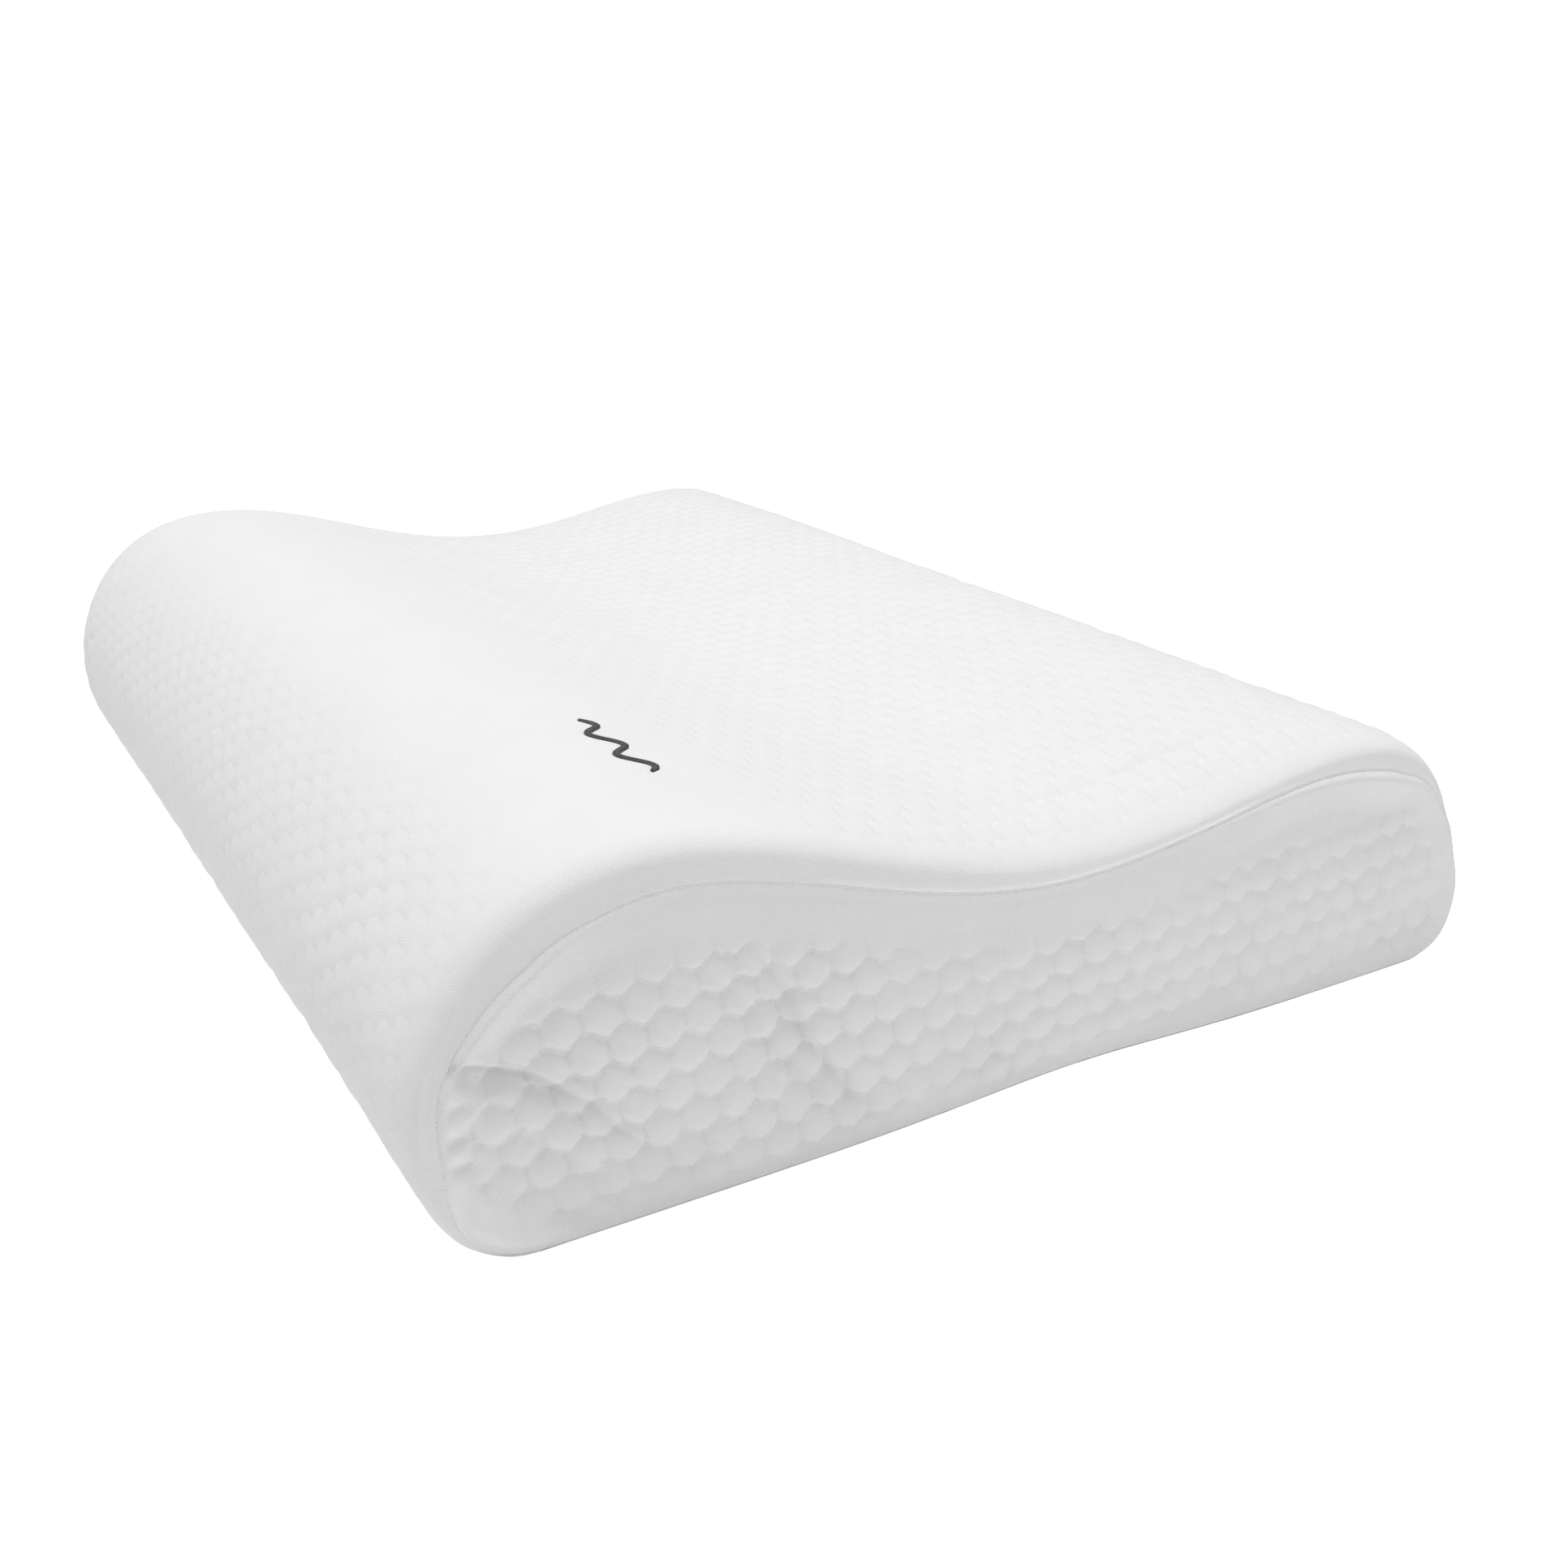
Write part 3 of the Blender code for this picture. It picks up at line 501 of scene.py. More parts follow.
def fill_loop(loop, inner):
    """Triangulates a loop with inner points: points, triangles, and each point's input number."""
    points = [Vector(q) for q in loop] + [Vector(q) for q in inner]
    n = len(loop)
    edges = [(i, (i + 1) % n) for i in range(n)]
    verts, _, faces, origin, _, _ = delaunay_2d_cdt(points, edges, [list(range(n))], 1, 1e-7)
    order = np.array([o[0] if o else -1 for o in origin])
    triangles = np.array([list(f) for f in faces if len(f) == 3])
    return np.array([tuple(v) for v in verts]), triangles, order


def depth_inside(order, count, dist):
    """Distance in from the loop of each filled point; the loop's own count points are at 0."""
    return np.where(order >= count, dist[np.maximum(order - count, 0)], 0.0)


# ---- material helpers ------------------------------------------------------------------------
def plug(slot, value):
    """Links a socket into an input, or sets the input's value."""
    if isinstance(value, Value):
        value = value.socket
    if isinstance(value, bpy.types.NodeSocket):
        slot.id_data.links.new(value, slot)
    else:
        slot.default_value = value


def add_node(tree, kind, inputs=None, **settings):
    node = tree.nodes.new(kind)
    for key, value in settings.items():
        setattr(node, key, value)
    for key, value in (inputs or {}).items():
        plug(node.inputs[key], value)
    return node


def compute(operation, *terms):
    """A Math node in the tree its terms belong to."""
    tree = next(term.socket.id_data for term in terms if isinstance(term, Value))
    inputs = dict(enumerate(terms))
    return Value(add_node(tree, "ShaderNodeMath", inputs, operation=operation).outputs[0])


def sine(value):
    return compute("SINE", value)


def ripple(value, period):
    return sine(value * (TURN / period))


class Value:
    """A shader output that can be used in arithmetic; each operation adds a Math node."""

    def __init__(self, socket):
        self.socket = socket

    def __add__(self, other):
        return compute("ADD", self, other)

    def __radd__(self, other):
        return compute("ADD", other, self)

    def __sub__(self, other):
        return compute("SUBTRACT", self, other)

    def __rsub__(self, other):
        return compute("SUBTRACT", other, self)

    def __mul__(self, other):
        return compute("MULTIPLY", self, other)

    def __truediv__(self, other):
        return compute("DIVIDE", self, other)

    def __mod__(self, other):
        return compute("MODULO", self, other)

    def __abs__(self):
        return compute("ABSOLUTE", self)

    def clamped(self):
        """Holds the last operation's result between 0 and 1."""
        self.socket.node.use_clamp = True
        return self


class Surface:
    """A node material under construction."""

    def __init__(self, name):
        self.material = bpy.data.materials.new(name)
        self.material.use_nodes = True
        self.tree = self.material.node_tree

    def node(self, kind, inputs=None, output=0, **settings):
        return Value(add_node(self.tree, kind, inputs, **settings).outputs[output])

    def fabric(self):
        """The two fabric coordinates in mm."""
        place = self.node("ShaderNodeUVMap", uv_map="fabric")
        split = add_node(self.tree, "ShaderNodeSeparateXYZ", {0: place})
        return tuple(Value(split.outputs[k]) * (1 / UV_PER_MM) for k in (0, 1))

    def place(self):
        return self.node("ShaderNodeTexCoord", output="Object")

    def vector(self, x, y):
        return self.node("ShaderNodeCombineXYZ", {0: x, 1: y, 2: 0.0})

    def noise(self, vector, scale, detail=3.0, rough=0.55):
        return self.node("ShaderNodeTexNoise", {"Vector": vector, "Scale": scale,
                                                "Detail": detail, "Roughness": rough})

    def attribute(self, name):
        return self.node("ShaderNodeAttribute", output="Fac", attribute_name=name)

    def ramp(self, value, low, high):
        """Smooth 0 to 1 as the value goes from low to high."""
        inputs = {"Value": value, "From Min": low, "From Max": high, "To Min": 0.0, "To Max": 1.0}
        return self.node("ShaderNodeMapRange", inputs, interpolation_type="SMOOTHSTEP")

    def mix(self, share, *colours):
        colours = [(*c, 1.0) if isinstance(c, tuple) else c for c in colours]
        inputs = {0: share, 6: colours[0], 7: colours[1]}
        return self.node("ShaderNodeMix", inputs, output=2, data_type="RGBA")

    def bump(self, height, distance=MM, strength=1.0):
        return self.node("ShaderNodeBump",
                         {"Strength": strength, "Distance": distance, "Height": height})

    def finish(self, colour, roughness, normal, **more):
        shader = self.tree.nodes["Principled BSDF"]
        inputs = {"Base Color": colour, "Roughness": roughness, "Normal": normal, **more}
        for key, value in inputs.items():
            plug(shader.inputs[key.replace("_", " ")], value)
        return self.material


# ---- materials -------------------------------------------------------------------------------
def knit_material(name, light, dark, lean, crisp, outline, dotted):
    """Double knit with honeycomb quilting; fabric runs across and along the cell rows.

    lean tilts each cell, crisp is its bump height in mm, outline sinks the cells' borders and
    paints shade into them, and dotted breaks that painted shade up with painted highlight dots.
    """
    surface = Surface(name)
    across, along = surface.fabric()
    row_pitch = math.sqrt(3) * PITCH

    def cell(shift):
        """Squared distance, border distance and tilt for the nearest cell of one lattice."""
        a = across - (compute("ROUND", across / row_pitch - shift) + shift) * row_pitch
        b = along - (compute("ROUND", along / PITCH - shift) + shift) * PITCH
        square = a * a + b * b
        tilt = a * (lean[0] / PITCH) + b * (lean[1] / PITCH)
        border = compute("MAXIMUM", abs(b), abs(a) * (math.sqrt(3) / 2) + abs(b) * 0.5)
        return square, border, tilt

    square_1, border_1, tilt_1 = cell(0.0)
    square_2, border_2, tilt_2 = cell(0.5)
    first = compute("LESS_THAN", square_1, square_2)

    def nearer(one, two):
        return one * first + two * (1.0 - first)

    border = nearer(border_1, border_2) / (PITCH / 2)
    depth = surface.attribute("quilt")
    share = compute("MINIMUM", square_1, square_2) / CELL_RADIUS ** 2
    tilt = nearer(tilt_1, tilt_2)
    cap = ((1.0 - compute("MINIMUM", share, 1.0)) + tilt) * depth
    line = surface.ramp(border, low=0.80, high=1.0) * depth
    fold = surface.attribute("fold")
    # knit loops, every other row shifted by half a loop
    row_height, loop_width = 0.8, 0.95
    row = across / row_height
    shift = (compute("FLOOR", abs(row)) % 2.0) * 0.5
    column = along / loop_width + shift
    loops = abs(sine(row * math.pi)) * abs(sine(column * math.pi))
    flat = surface.vector(across, along)
    fuzz = surface.noise(flat, scale=2.2, detail=4.0, rough=0.7)
    blotch = surface.noise(flat, scale=0.035, detail=3.0, rough=0.5)
    # height in mm: loops, fuzz, the valley between cells, the cell's cap
    height = loops * 0.050 + fuzz * 0.055 + line * (-0.4 * outline) + cap * crisp
    # share of the dark colour: loops, fuzz, painted shade in the cells' borders broken by painted
    # highlight dots, painted shade in folds, blotches
    shade = (1.0 - loops) * 0.22 + fuzz * 0.25
    dots = surface.ramp(abs(sine(along * (math.pi / (PITCH / 2)))), low=0.55, high=0.95)
    # painted shade along the cells' borders, broken up by painted highlight dots
    shade = shade + line * (outline - dots * dotted)
    # painted shade in the end panels' creases from the fold attribute; painted light where it is
    # negative
    shade = shade + fold * 0.75
    shade = (shade + (blotch - 0.5) * 0.22).clamped()
    return surface.finish(
        colour=surface.mix(shade, light, dark), roughness=0.80 + fuzz * 0.18,
        normal=surface.bump(height),
        Sheen_Weight=0.12, Sheen_Roughness=0.55, Specular_IOR_Level=0.25)


def thread_material(name, light, dark, rough, twist):
    """Twisted thread; fabric runs round it in turns and along it. twist is its lay in mm."""
    surface = Surface(name)
    u, v = surface.fabric()
    ply = sine((u * 0.02 + v / twist) * TURN)
    fibre = sine((u * 0.12 + v / (twist * 0.32)) * TURN)
    fuzz = surface.noise(surface.place(), scale=2600.0)
    height = ply * 0.08 + (fibre * 0.02 + fuzz * 0.05)
    shade = ((1.0 - ply) * 0.28 + fuzz * 0.4).clamped()
    return surface.finish(
        colour=surface.mix(shade, light, dark), roughness=rough + fuzz * 0.15,
        normal=surface.bump(height, strength=0.9), Sheen_Weight=0.15)


def jersey_material():
    surface = Surface("liner_jersey")
    a, b = surface.fabric()
    row_height, loop_width = 0.62, 0.75
    row = a * (math.pi / row_height)
    column = b * (math.pi / loop_width)
    loops = abs(sine(row + abs(sine(column)) * 0.9)) * abs(sine(column))
    fuzz = surface.noise(surface.vector(a, b), scale=1.7, detail=4.0)
    blotch = surface.noise(surface.vector(a, b), scale=0.03, detail=2.0)
    shade = ((1.0 - loops) * 0.35 + (fuzz + blotch) * 0.3).clamped()
    light, dark = (0.84, 0.84, 0.82), (0.66, 0.66, 0.64)
    return surface.finish(
        colour=surface.mix(shade, light, dark), roughness=0.78 + fuzz * 0.2,
        normal=surface.bump(loops * 0.07 + fuzz * 0.05), Sheen_Weight=0.1)


def foam_material():
    """Fine pores with scattered larger pits."""
    surface = Surface("memory_foam")
    place = surface.place()

    def cells(scale, feature):
        return surface.node("ShaderNodeTexVoronoi", {"Vector": place, "Scale": scale},
                            output="Distance", feature=feature)

    pores = cells(scale=900.0, feature="SMOOTH_F1")
    pit = surface.ramp(cells(scale=190.0, feature="F1"), low=0.08, high=0.30)
    blotch = surface.noise(place, scale=14.0, detail=4.0)
    shade = ((1.0 - pit) * 0.5 + blotch * 0.5).clamped()
    light, dark = (0.88, 0.82, 0.64), (0.72, 0.63, 0.42)
    return surface.finish(
        colour=surface.mix(shade, light, dark), roughness=0.95 - blotch * 0.12,
        normal=surface.bump(pores * 0.25 + pit * 0.35), Specular_IOR_Level=0.2)


def tape_material():
    """Herringbone twill."""
    surface = Surface("zip_tape_twill")
    a, b = surface.fabric()
    zigzag_width, rib, weft_pitch = 2.6, 0.8, 0.4
    zigzag = abs((b / zigzag_width + 100.0) % 1.0 - 0.5)
    line = sine((a / rib + zigzag * 3.2) * TURN)
    weft = ripple(a, weft_pitch)
    fuzz = surface.noise(surface.vector(a, b), scale=2.4)
    height = line * 0.05 + (weft * 0.012 + fuzz * 0.03)
    shade = ((1.0 - line) * 0.25 + fuzz * 0.4).clamped()
    light, dark = (0.84, 0.84, 0.84), (0.66, 0.66, 0.66)
    return surface.finish(
        colour=surface.mix(shade, light, dark), roughness=0.68 + fuzz * 0.2,
        normal=surface.bump(height))


def nylon_material():
    surface = Surface("zip_nylon")
    place = surface.place()
    fuzz = surface.noise(place, scale=900.0)
    wear = surface.noise(place, scale=60.0)
    fresh, worn = (0.86, 0.86, 0.86), (0.76, 0.76, 0.75)
    return surface.finish(
        colour=surface.mix(wear, fresh, worn), roughness=0.26 + fuzz * 0.22,
        normal=surface.bump(fuzz, distance=MM * 0.06, strength=0.6), Specular_IOR_Level=0.5)


def enamel_material():
    """White enamel on die-cast zinc, rubbed on its edges."""
    surface = Surface("zip_slider_enamel")
    place = surface.place()
    normal = surface.node("ShaderNodeNewGeometry", output="Normal")
    rounded = surface.node("ShaderNodeBevel", {"Radius": 0.00035}, samples=4)
    likeness = surface.node("ShaderNodeVectorMath", {0: rounded, 1: normal}, output="Value",
                            operation="DOT_PRODUCT")
    edge = surface.ramp(likeness, low=0.995, high=0.90)
    scuff = surface.noise(place, scale=1400.0, detail=5.0, rough=0.65)
    patch = surface.noise(place, scale=260.0)
    bare = edge * surface.ramp(scuff + patch, low=0.98, high=1.16)
    orange_peel = surface.noise(place, scale=1900.0, detail=2.0)
    white, grey, zinc = (0.84, 0.84, 0.83), (0.78, 0.78, 0.77), (0.55, 0.54, 0.52)
    return surface.finish(
        colour=surface.mix(bare, surface.mix(patch, white, grey), zinc),
        roughness=0.24 + (scuff * 0.16 + bare * 0.1),
        normal=surface.bump(orange_peel * 0.4 + scuff * 0.2, distance=MM * 0.05, strength=0.5),
        Metallic=bare, Coat_Weight=0.25, Coat_Roughness=0.15)


def satin_material():
    surface = Surface("label_satin")
    a, b = surface.fabric()
    warp, weft = ripple(a, period=0.30), ripple(b, period=0.42)
    fuzz = surface.noise(surface.vector(a, b), scale=1.1)
    streak = surface.noise(surface.vector(a * 3.0, b * 0.08), scale=1.0)
    light, dark = (0.90, 0.90, 0.89), (0.78, 0.78, 0.77)
    return surface.finish(
        colour=surface.mix(streak * 0.6 + fuzz * 0.3, light, dark),
        roughness=0.26 + streak * 0.2,
        normal=surface.bump(warp * 0.015 + weft * 0.008, strength=0.8),
        Anisotropic=0.5, Sheen_Weight=0.1)


END_LEAN = (-1.05, -0.35)       # tilt of the end panels' cells across and along their rows
KNIT = knit_material(
    "quilted_knit", light=(0.895, 0.895, 0.895), dark=(0.70, 0.70, 0.705),
    lean=(0.0, -0.2), crisp=0.15, outline=0.11, dotted=0.30)
KNIT_ENDS = knit_material(
    "quilted_knit_ends", light=(0.885, 0.885, 0.885), dark=(0.67, 0.67, 0.675),
    lean=END_LEAN, crisp=0.34, outline=0.05, dotted=0.06)
WHITE_THREAD = thread_material(
    "sewing_thread", light=(0.91, 0.91, 0.91), dark=(0.80, 0.80, 0.80), rough=0.55, twist=1.3)
GREY_THREAD = thread_material(
    "embroidery_thread", light=(0.085, 0.088, 0.095), dark=(0.016, 0.017, 0.020),
    rough=0.34, twist=0.9)
JERSEY, FOAM, TAPE = jersey_material(), foam_material(), tape_material()
NYLON, ENAMEL, SATIN = nylon_material(), enamel_material(), satin_material()


# ---- cloth simulation on a coarse closed mesh: how the cover swells between its seams --------
SIM_ROWS = np.concatenate([np.linspace(0.0, S_FLAT, 76)[:-1],
                           np.linspace(S_FLAT, PERIMETER, 36, endpoint=False)])
SIM_COLUMNS = 57                # along the straight part
SIM_RINGS = (0, 4, 8, 12, 15)   # roundover rings the coarse mesh keeps
SIM_FRAMES = 20
SWELL_LIMIT = 3.0


def wrap_surface(s, left, body, right):
    """Plain wrap points (rows, columns, 3).

    left and right list (back, inset) ring by ring toward the seam; body lists the columns' x.
    """
    columns = [(-(HALF - back), inset) for back, inset in reversed(left)]
    columns += [(x, np.zeros(len(s))) for x in body]
    columns += [(HALF - back, inset) for back, inset in right]
    inset = np.stack([column[1] for column in columns], 1)
    point, normal = contour_at(s)
    surface = np.empty((*inset.shape, 3))
    surface[..., 0] = np.stack([column[0] for column in columns], 1)
    surface[..., 1:] = point[:, None, :] - normal[:, None, :] * inset[..., None]
    return surface


def sim_grid():
    """The coarse wrap; its first and last columns lie on the seams."""
    ends = {}
    for side in (-1, 1):
        back, inset = end_profile(SIM_ROWS, side)
        ends[side] = [(back[k], inset[k]) for k in SIM_RINGS]
    start, stop = -(HALF - ends[-1][0][0]), HALF - ends[1][0][0]
    shares = (np.linspace(-1.0, 1.0, SIM_COLUMNS)[1:-1] + 1) / 2
    body = [start + (stop - start) * t for t in shares]
    return wrap_surface(SIM_ROWS, ends[-1], body, ends[1])


def run_cloth(ob, held):
    """Swells the mesh under pressure with the held vertices pinned; returns its places in mm."""
    ob.vertex_groups.new(name="hold").add([int(i) for i in np.where(held)[0]], 1.0, "REPLACE")
    modifier = ob.modifiers.new("swell", "CLOTH")
    cloth = modifier.settings
    cloth.quality = 6
    cloth.mass = 0.25
    cloth.tension_stiffness = cloth.compression_stiffness = 26.0
    cloth.shear_stiffness = 12.0
    cloth.bending_stiffness = 1.2
    cloth.tension_damping = cloth.compression_damping = cloth.shear_damping = 12.0
    cloth.air_damping = 3.0
    cloth.use_pressure = True
    cloth.uniform_pressure_force = 4.0
    cloth.shrink_min = -0.006                       # spare cloth, so it puckers at the seams
    cloth.vertex_group_mass = "hold"
    cloth.pin_stiffness = 5.0
    cloth.effector_weights.gravity = 0.0
    modifier.collision_settings.use_collision = False
    modifier.point_cache.frame_start, modifier.point_cache.frame_end = 1, SIM_FRAMES
    scene = bpy.context.scene
    for frame in range(1, SIM_FRAMES + 1):
        scene.frame_set(frame)
    evaluated = ob.evaluated_get(bpy.context.evaluated_depsgraph_get())
    moved = np.zeros(len(held) * 3, np.float32)
    evaluated.data.vertices.foreach_get("co", moved)
    scene.frame_set(1)
    return moved.reshape(-1, 3).astype(float) / MM


def simulate():
    """Displacement of the coarse wrap grid, and of scattered points on each end panel."""
    grid = sim_grid()
    rows, cols = grid.shape[:2]
    base = wrap_count = rows * cols
    index = np.arange(wrap_count).reshape(rows, cols)
    verts = [grid.reshape(-1, 3)]
    faces = [quad_grid(index, close_rows=True).reshape(-1, 4).tolist()]
    panels = {}
    for side, column in ((-1, 0), (1, cols - 1)):
        loop = grid[:, column, 1:]
        inner, _ = inside_points(loop, pitch=9.0, margin=5.5)
        points, triangles, order = fill_loop(loop, inner)
        numbers, extra = [], []
        for point, origin in zip(points, order):
            if 0 <= origin < rows:
                numbers.append(origin * cols + column)
            else:
                numbers.append(base + len(extra))
                extra.append((side * (HALF - 0.6), *point))
        triangles = np.array(numbers)[triangles]
        faces.append((triangles if side > 0 else triangles[:, ::-1]).tolist())
        panels[side] = slice(base, base + len(extra))
        verts.append(np.array(extra))
        base += len(extra)
    nominal = np.concatenate(verts)
    ob = mesh_object("cover_simulation", nominal, sum(faces, []))
    bm = bmesh.new()
    bm.from_mesh(ob.data)
    bmesh.ops.recalc_face_normals(bm, faces=bm.faces)
    bm.normal_update()
    normal = np.array([tuple(v.normal) for v in bm.verts])
    bm.to_mesh(ob.data)
    bm.free()
    # held: the underside, the zip's edges and the seams; the rest starts a little smaller
    held = np.zeros(len(nominal), bool)
    from_zip = np.abs(np.repeat(SIM_ROWS, cols) - ZIP_S)
    x, z = nominal[:wrap_count, 0], nominal[:wrap_count, 2]
    column = np.tile(np.arange(cols), rows)
    held[:wrap_count] = ((z < 1.0) | ((from_zip < 9.0) & (np.abs(x) < 222))
                         | (column == 0) | (column == cols - 1))
    start = nominal - normal * (1.4 * ~held)[:, None]
    ob.data.vertices.foreach_set("co", (start * MM).astype(np.float32).ravel())
    moved = run_cloth(ob, held) - nominal
    bpy.data.objects.remove(ob, do_unlink=True)
    size = np.linalg.norm(moved, axis=1)
    moved *= (SWELL_LIMIT * np.tanh(size / SWELL_LIMIT) / np.maximum(size, 1e-9))[:, None]
    moved *= (~held)[:, None]
    out = {"wrap": moved[:wrap_count].reshape(rows, cols, 3)}
    for side, part in panels.items():
        out[side] = (nominal[part, 1:], moved[part])
    return out


def catmull(values, where):
    """Catmull-Rom values along axis 0 at fractional indices."""
    n = values.shape[0]
    i = np.clip(np.floor(where).astype(int), 0, n - 2)
    t = (where - i).reshape(-1, *([1] * (values.ndim - 1)))
    a, b, c, d = (values[np.clip(i + k, 0, n - 1)] for k in (-1, 0, 1, 2))
    return 0.5 * ((2 * b) + (c - a) * t + (2 * a - 5 * b + 4 * c - d) * t ** 2
                  + (3 * b - a - 3 * c + d) * t ** 3)


SWELL = simulate()


def wrap_swell(s, column):
    """Simulated displacement at arc lengths s and fractional coarse columns."""
    if SWELL is None:
        return 0.0
    grid = SWELL["wrap"]
    grid = np.concatenate([grid[-2:], grid, grid[:3]])       # closed round the section
    places = np.concatenate([SIM_ROWS[-2:] - PERIMETER, SIM_ROWS, SIM_ROWS[:3] + PERIMETER])
    rows = catmull(grid, np.interp(s, places, np.arange(len(places))))
    return catmull(rows.transpose(1, 0, 2), column).transpose(1, 0, 2)


def panel_swell(side, y, z):
    if SWELL is None:
        return np.zeros((len(y), 3))
    spread = 6.5
    total, weights = np.zeros((len(y), 3)), np.zeros(len(y))
    for (py, pz), moved in zip(*SWELL[side]):
        weight = np.exp(-((y - py) ** 2 + (z - pz) ** 2) / (2 * spread ** 2))
        total += weight[:, None] * moved
        weights += weight
    return total / np.maximum(weights, 1e-6)[:, None]


# ---- cover, wrap-around panel ----------------------------------------------------------------
ROW_STEP = 1.62
ZIP_ROWS = (SLOT_S, 6.25, 6.7, 7.4, STITCH_S, 9.0, 10.2)    # extra rows beside the zip's middle
LEFT_STEPS, SLOT_STEPS, RIGHT_STEPS = 7, 226, 9             # columns before, along, after it
HEM = ((0.8, 0.05), (1.5, 0.35), (1.9, 0.95), (2.0, 1.8))   # the folded edge: down, outward


def quilting_depth(x, s):
    """Quilting depth in mm over the wrap."""
    front = ease((150.0 - s) / 40.0)
    crest = bell(s - (165.0 + np.clip(-x, 0, 250) * 0.22), 34.0)
    slope = ease((s - 190.0) / 40.0)
    depth = (0.10 + 0.36 * front + 0.62 * slope) * (1.0 - 0.88 * crest)
    depth = np.where(s > S_FLAT, 0.25, depth)
    toward_end = 0.15 + 0.85 * ease((HALF - 4.0 - np.abs(x)) / 9.0)
    beside_zip = ease((np.abs(s - ZIP_S) - 11.0) / 10.0)
    depth = depth * toward_end * beside_zip * (0.85 + 0.25 * waves(x, s, seed=5, size=90.0))
    mark = bell(x - MARK_X, 34.0, 4) * bell(s - MARK_S, 12.0, 4)
    return np.clip(depth * (1.0 - 0.9 * mark), 0.0, None)


def wrap_relief(x, s, across, along, depth):
    """Height in mm over the plain wrap: quilting, soft unevenness, and the cloth by the zip."""
    number, in_across, in_along = hexes(across, along)
    front = ease((150.0 - s) / 60.0)
    rib = 0.5 + 0.5 * np.cos(across * TURN / (math.sqrt(3) / 2 * PITCH))
    cap = (0.45 + 0.45 * front) * cushion(in_across, in_along) * (0.8 + 0.4 * number)
    relief = depth * (cap + 0.55 * (1 - front) * rib - 0.5 - front * 0.25 * in_along / PITCH)
    straight = ease((HALF - 5.0 - np.abs(x)) / 14.0)
    under = s > S_FLAT
    relief += 0.10 * waves(x, s, seed=11, size=46.0) * straight * np.where(under, 0.2, 1.0)
    relief += 0.30 * waves(x * 0.5, s, seed=12, size=150.0, octaves=2) * straight * ~under
    # sewn down on the stitch line, rolled over at the opening
    from_zip = np.abs(s - ZIP_S)
    near = np.abs(x) < SLOT_X + 5.0
    relief -= 0.55 * bell(from_zip - STITCH_S, 0.75) * near
    relief += 0.35 * bell(from_zip - 6.9, 0.6) * near
    return relief - np.where(near & (from_zip < SLOT_S + 0.1), 0.75, 0.0)


def wrap_rows():
    top = [v for v in np.arange(0.0, S_FLAT, ROW_STEP) if abs(v - ZIP_S) > 11.0]
    top += [ZIP_S + sign * offset for sign in (-1, 1) for offset in ZIP_ROWS]
    return np.concatenate([sorted(top), np.linspace(S_FLAT, PERIMETER, 44, endpoint=False)])


def wrap_grid(s):
    """Plain wrap points, the coarse column of each column, and the slot's first column."""
    left, right = (list(zip(*end_profile(s, side))) for side in (-1, 1))
    start, stop = -(HALF - left[0][0]), HALF - right[0][0]
    body = [start + (-SLOT_X - start) * t for t in np.linspace(0, 1, LEFT_STEPS + 1)[:-1]]
    body += [np.full(len(s), -SLOT_X + 2 * SLOT_X * t)
             for t in np.linspace(0, 1, SLOT_STEPS + 1)[:-1]]
    body += [SLOT_X + (stop - SLOT_X) * t for t in np.linspace(0, 1, RIGHT_STEPS + 1)]
    last = len(SIM_RINGS) - 1
    ring = np.interp(np.arange(len(left)), [*SIM_RINGS, len(left) - 1], [0, 1, 2, 3, 4, 4])[1:]
    middle = [last + np.median((x - start) / (stop - start)) * (SIM_COLUMNS - 1) for x in body]
    coarse = np.concatenate([last - ring[::-1], middle, last + SIM_COLUMNS - 1 + ring])
    points = wrap_surface(s, left[1:], body, right[1:])
    return points, coarse, len(left) - 1 + LEFT_STEPS


def hem_rings(verts, normal, s, loop, at_left, at_right):
    """Vertices of the opening's border folded in and under, ring by ring."""
    across = np.array([0.0, *(contour_at(ZIP_S + 1.0)[0] - contour_at(ZIP_S)[0])])
    on_long_edge = np.abs(np.abs(s[loop] - ZIP_S) - SLOT_S) < 0.01
    away = across * (np.sign(s[loop] - ZIP_S) * on_long_edge)[:, None]
    away = away + np.array([1.0, 0.0, 0.0]) * (at_right * 1.0 - at_left)[:, None]
    away /= np.linalg.norm(away, axis=1)[:, None] + 1e-9
    return [verts[loop] - normal[loop] * down + away * out for down, out in HEM]


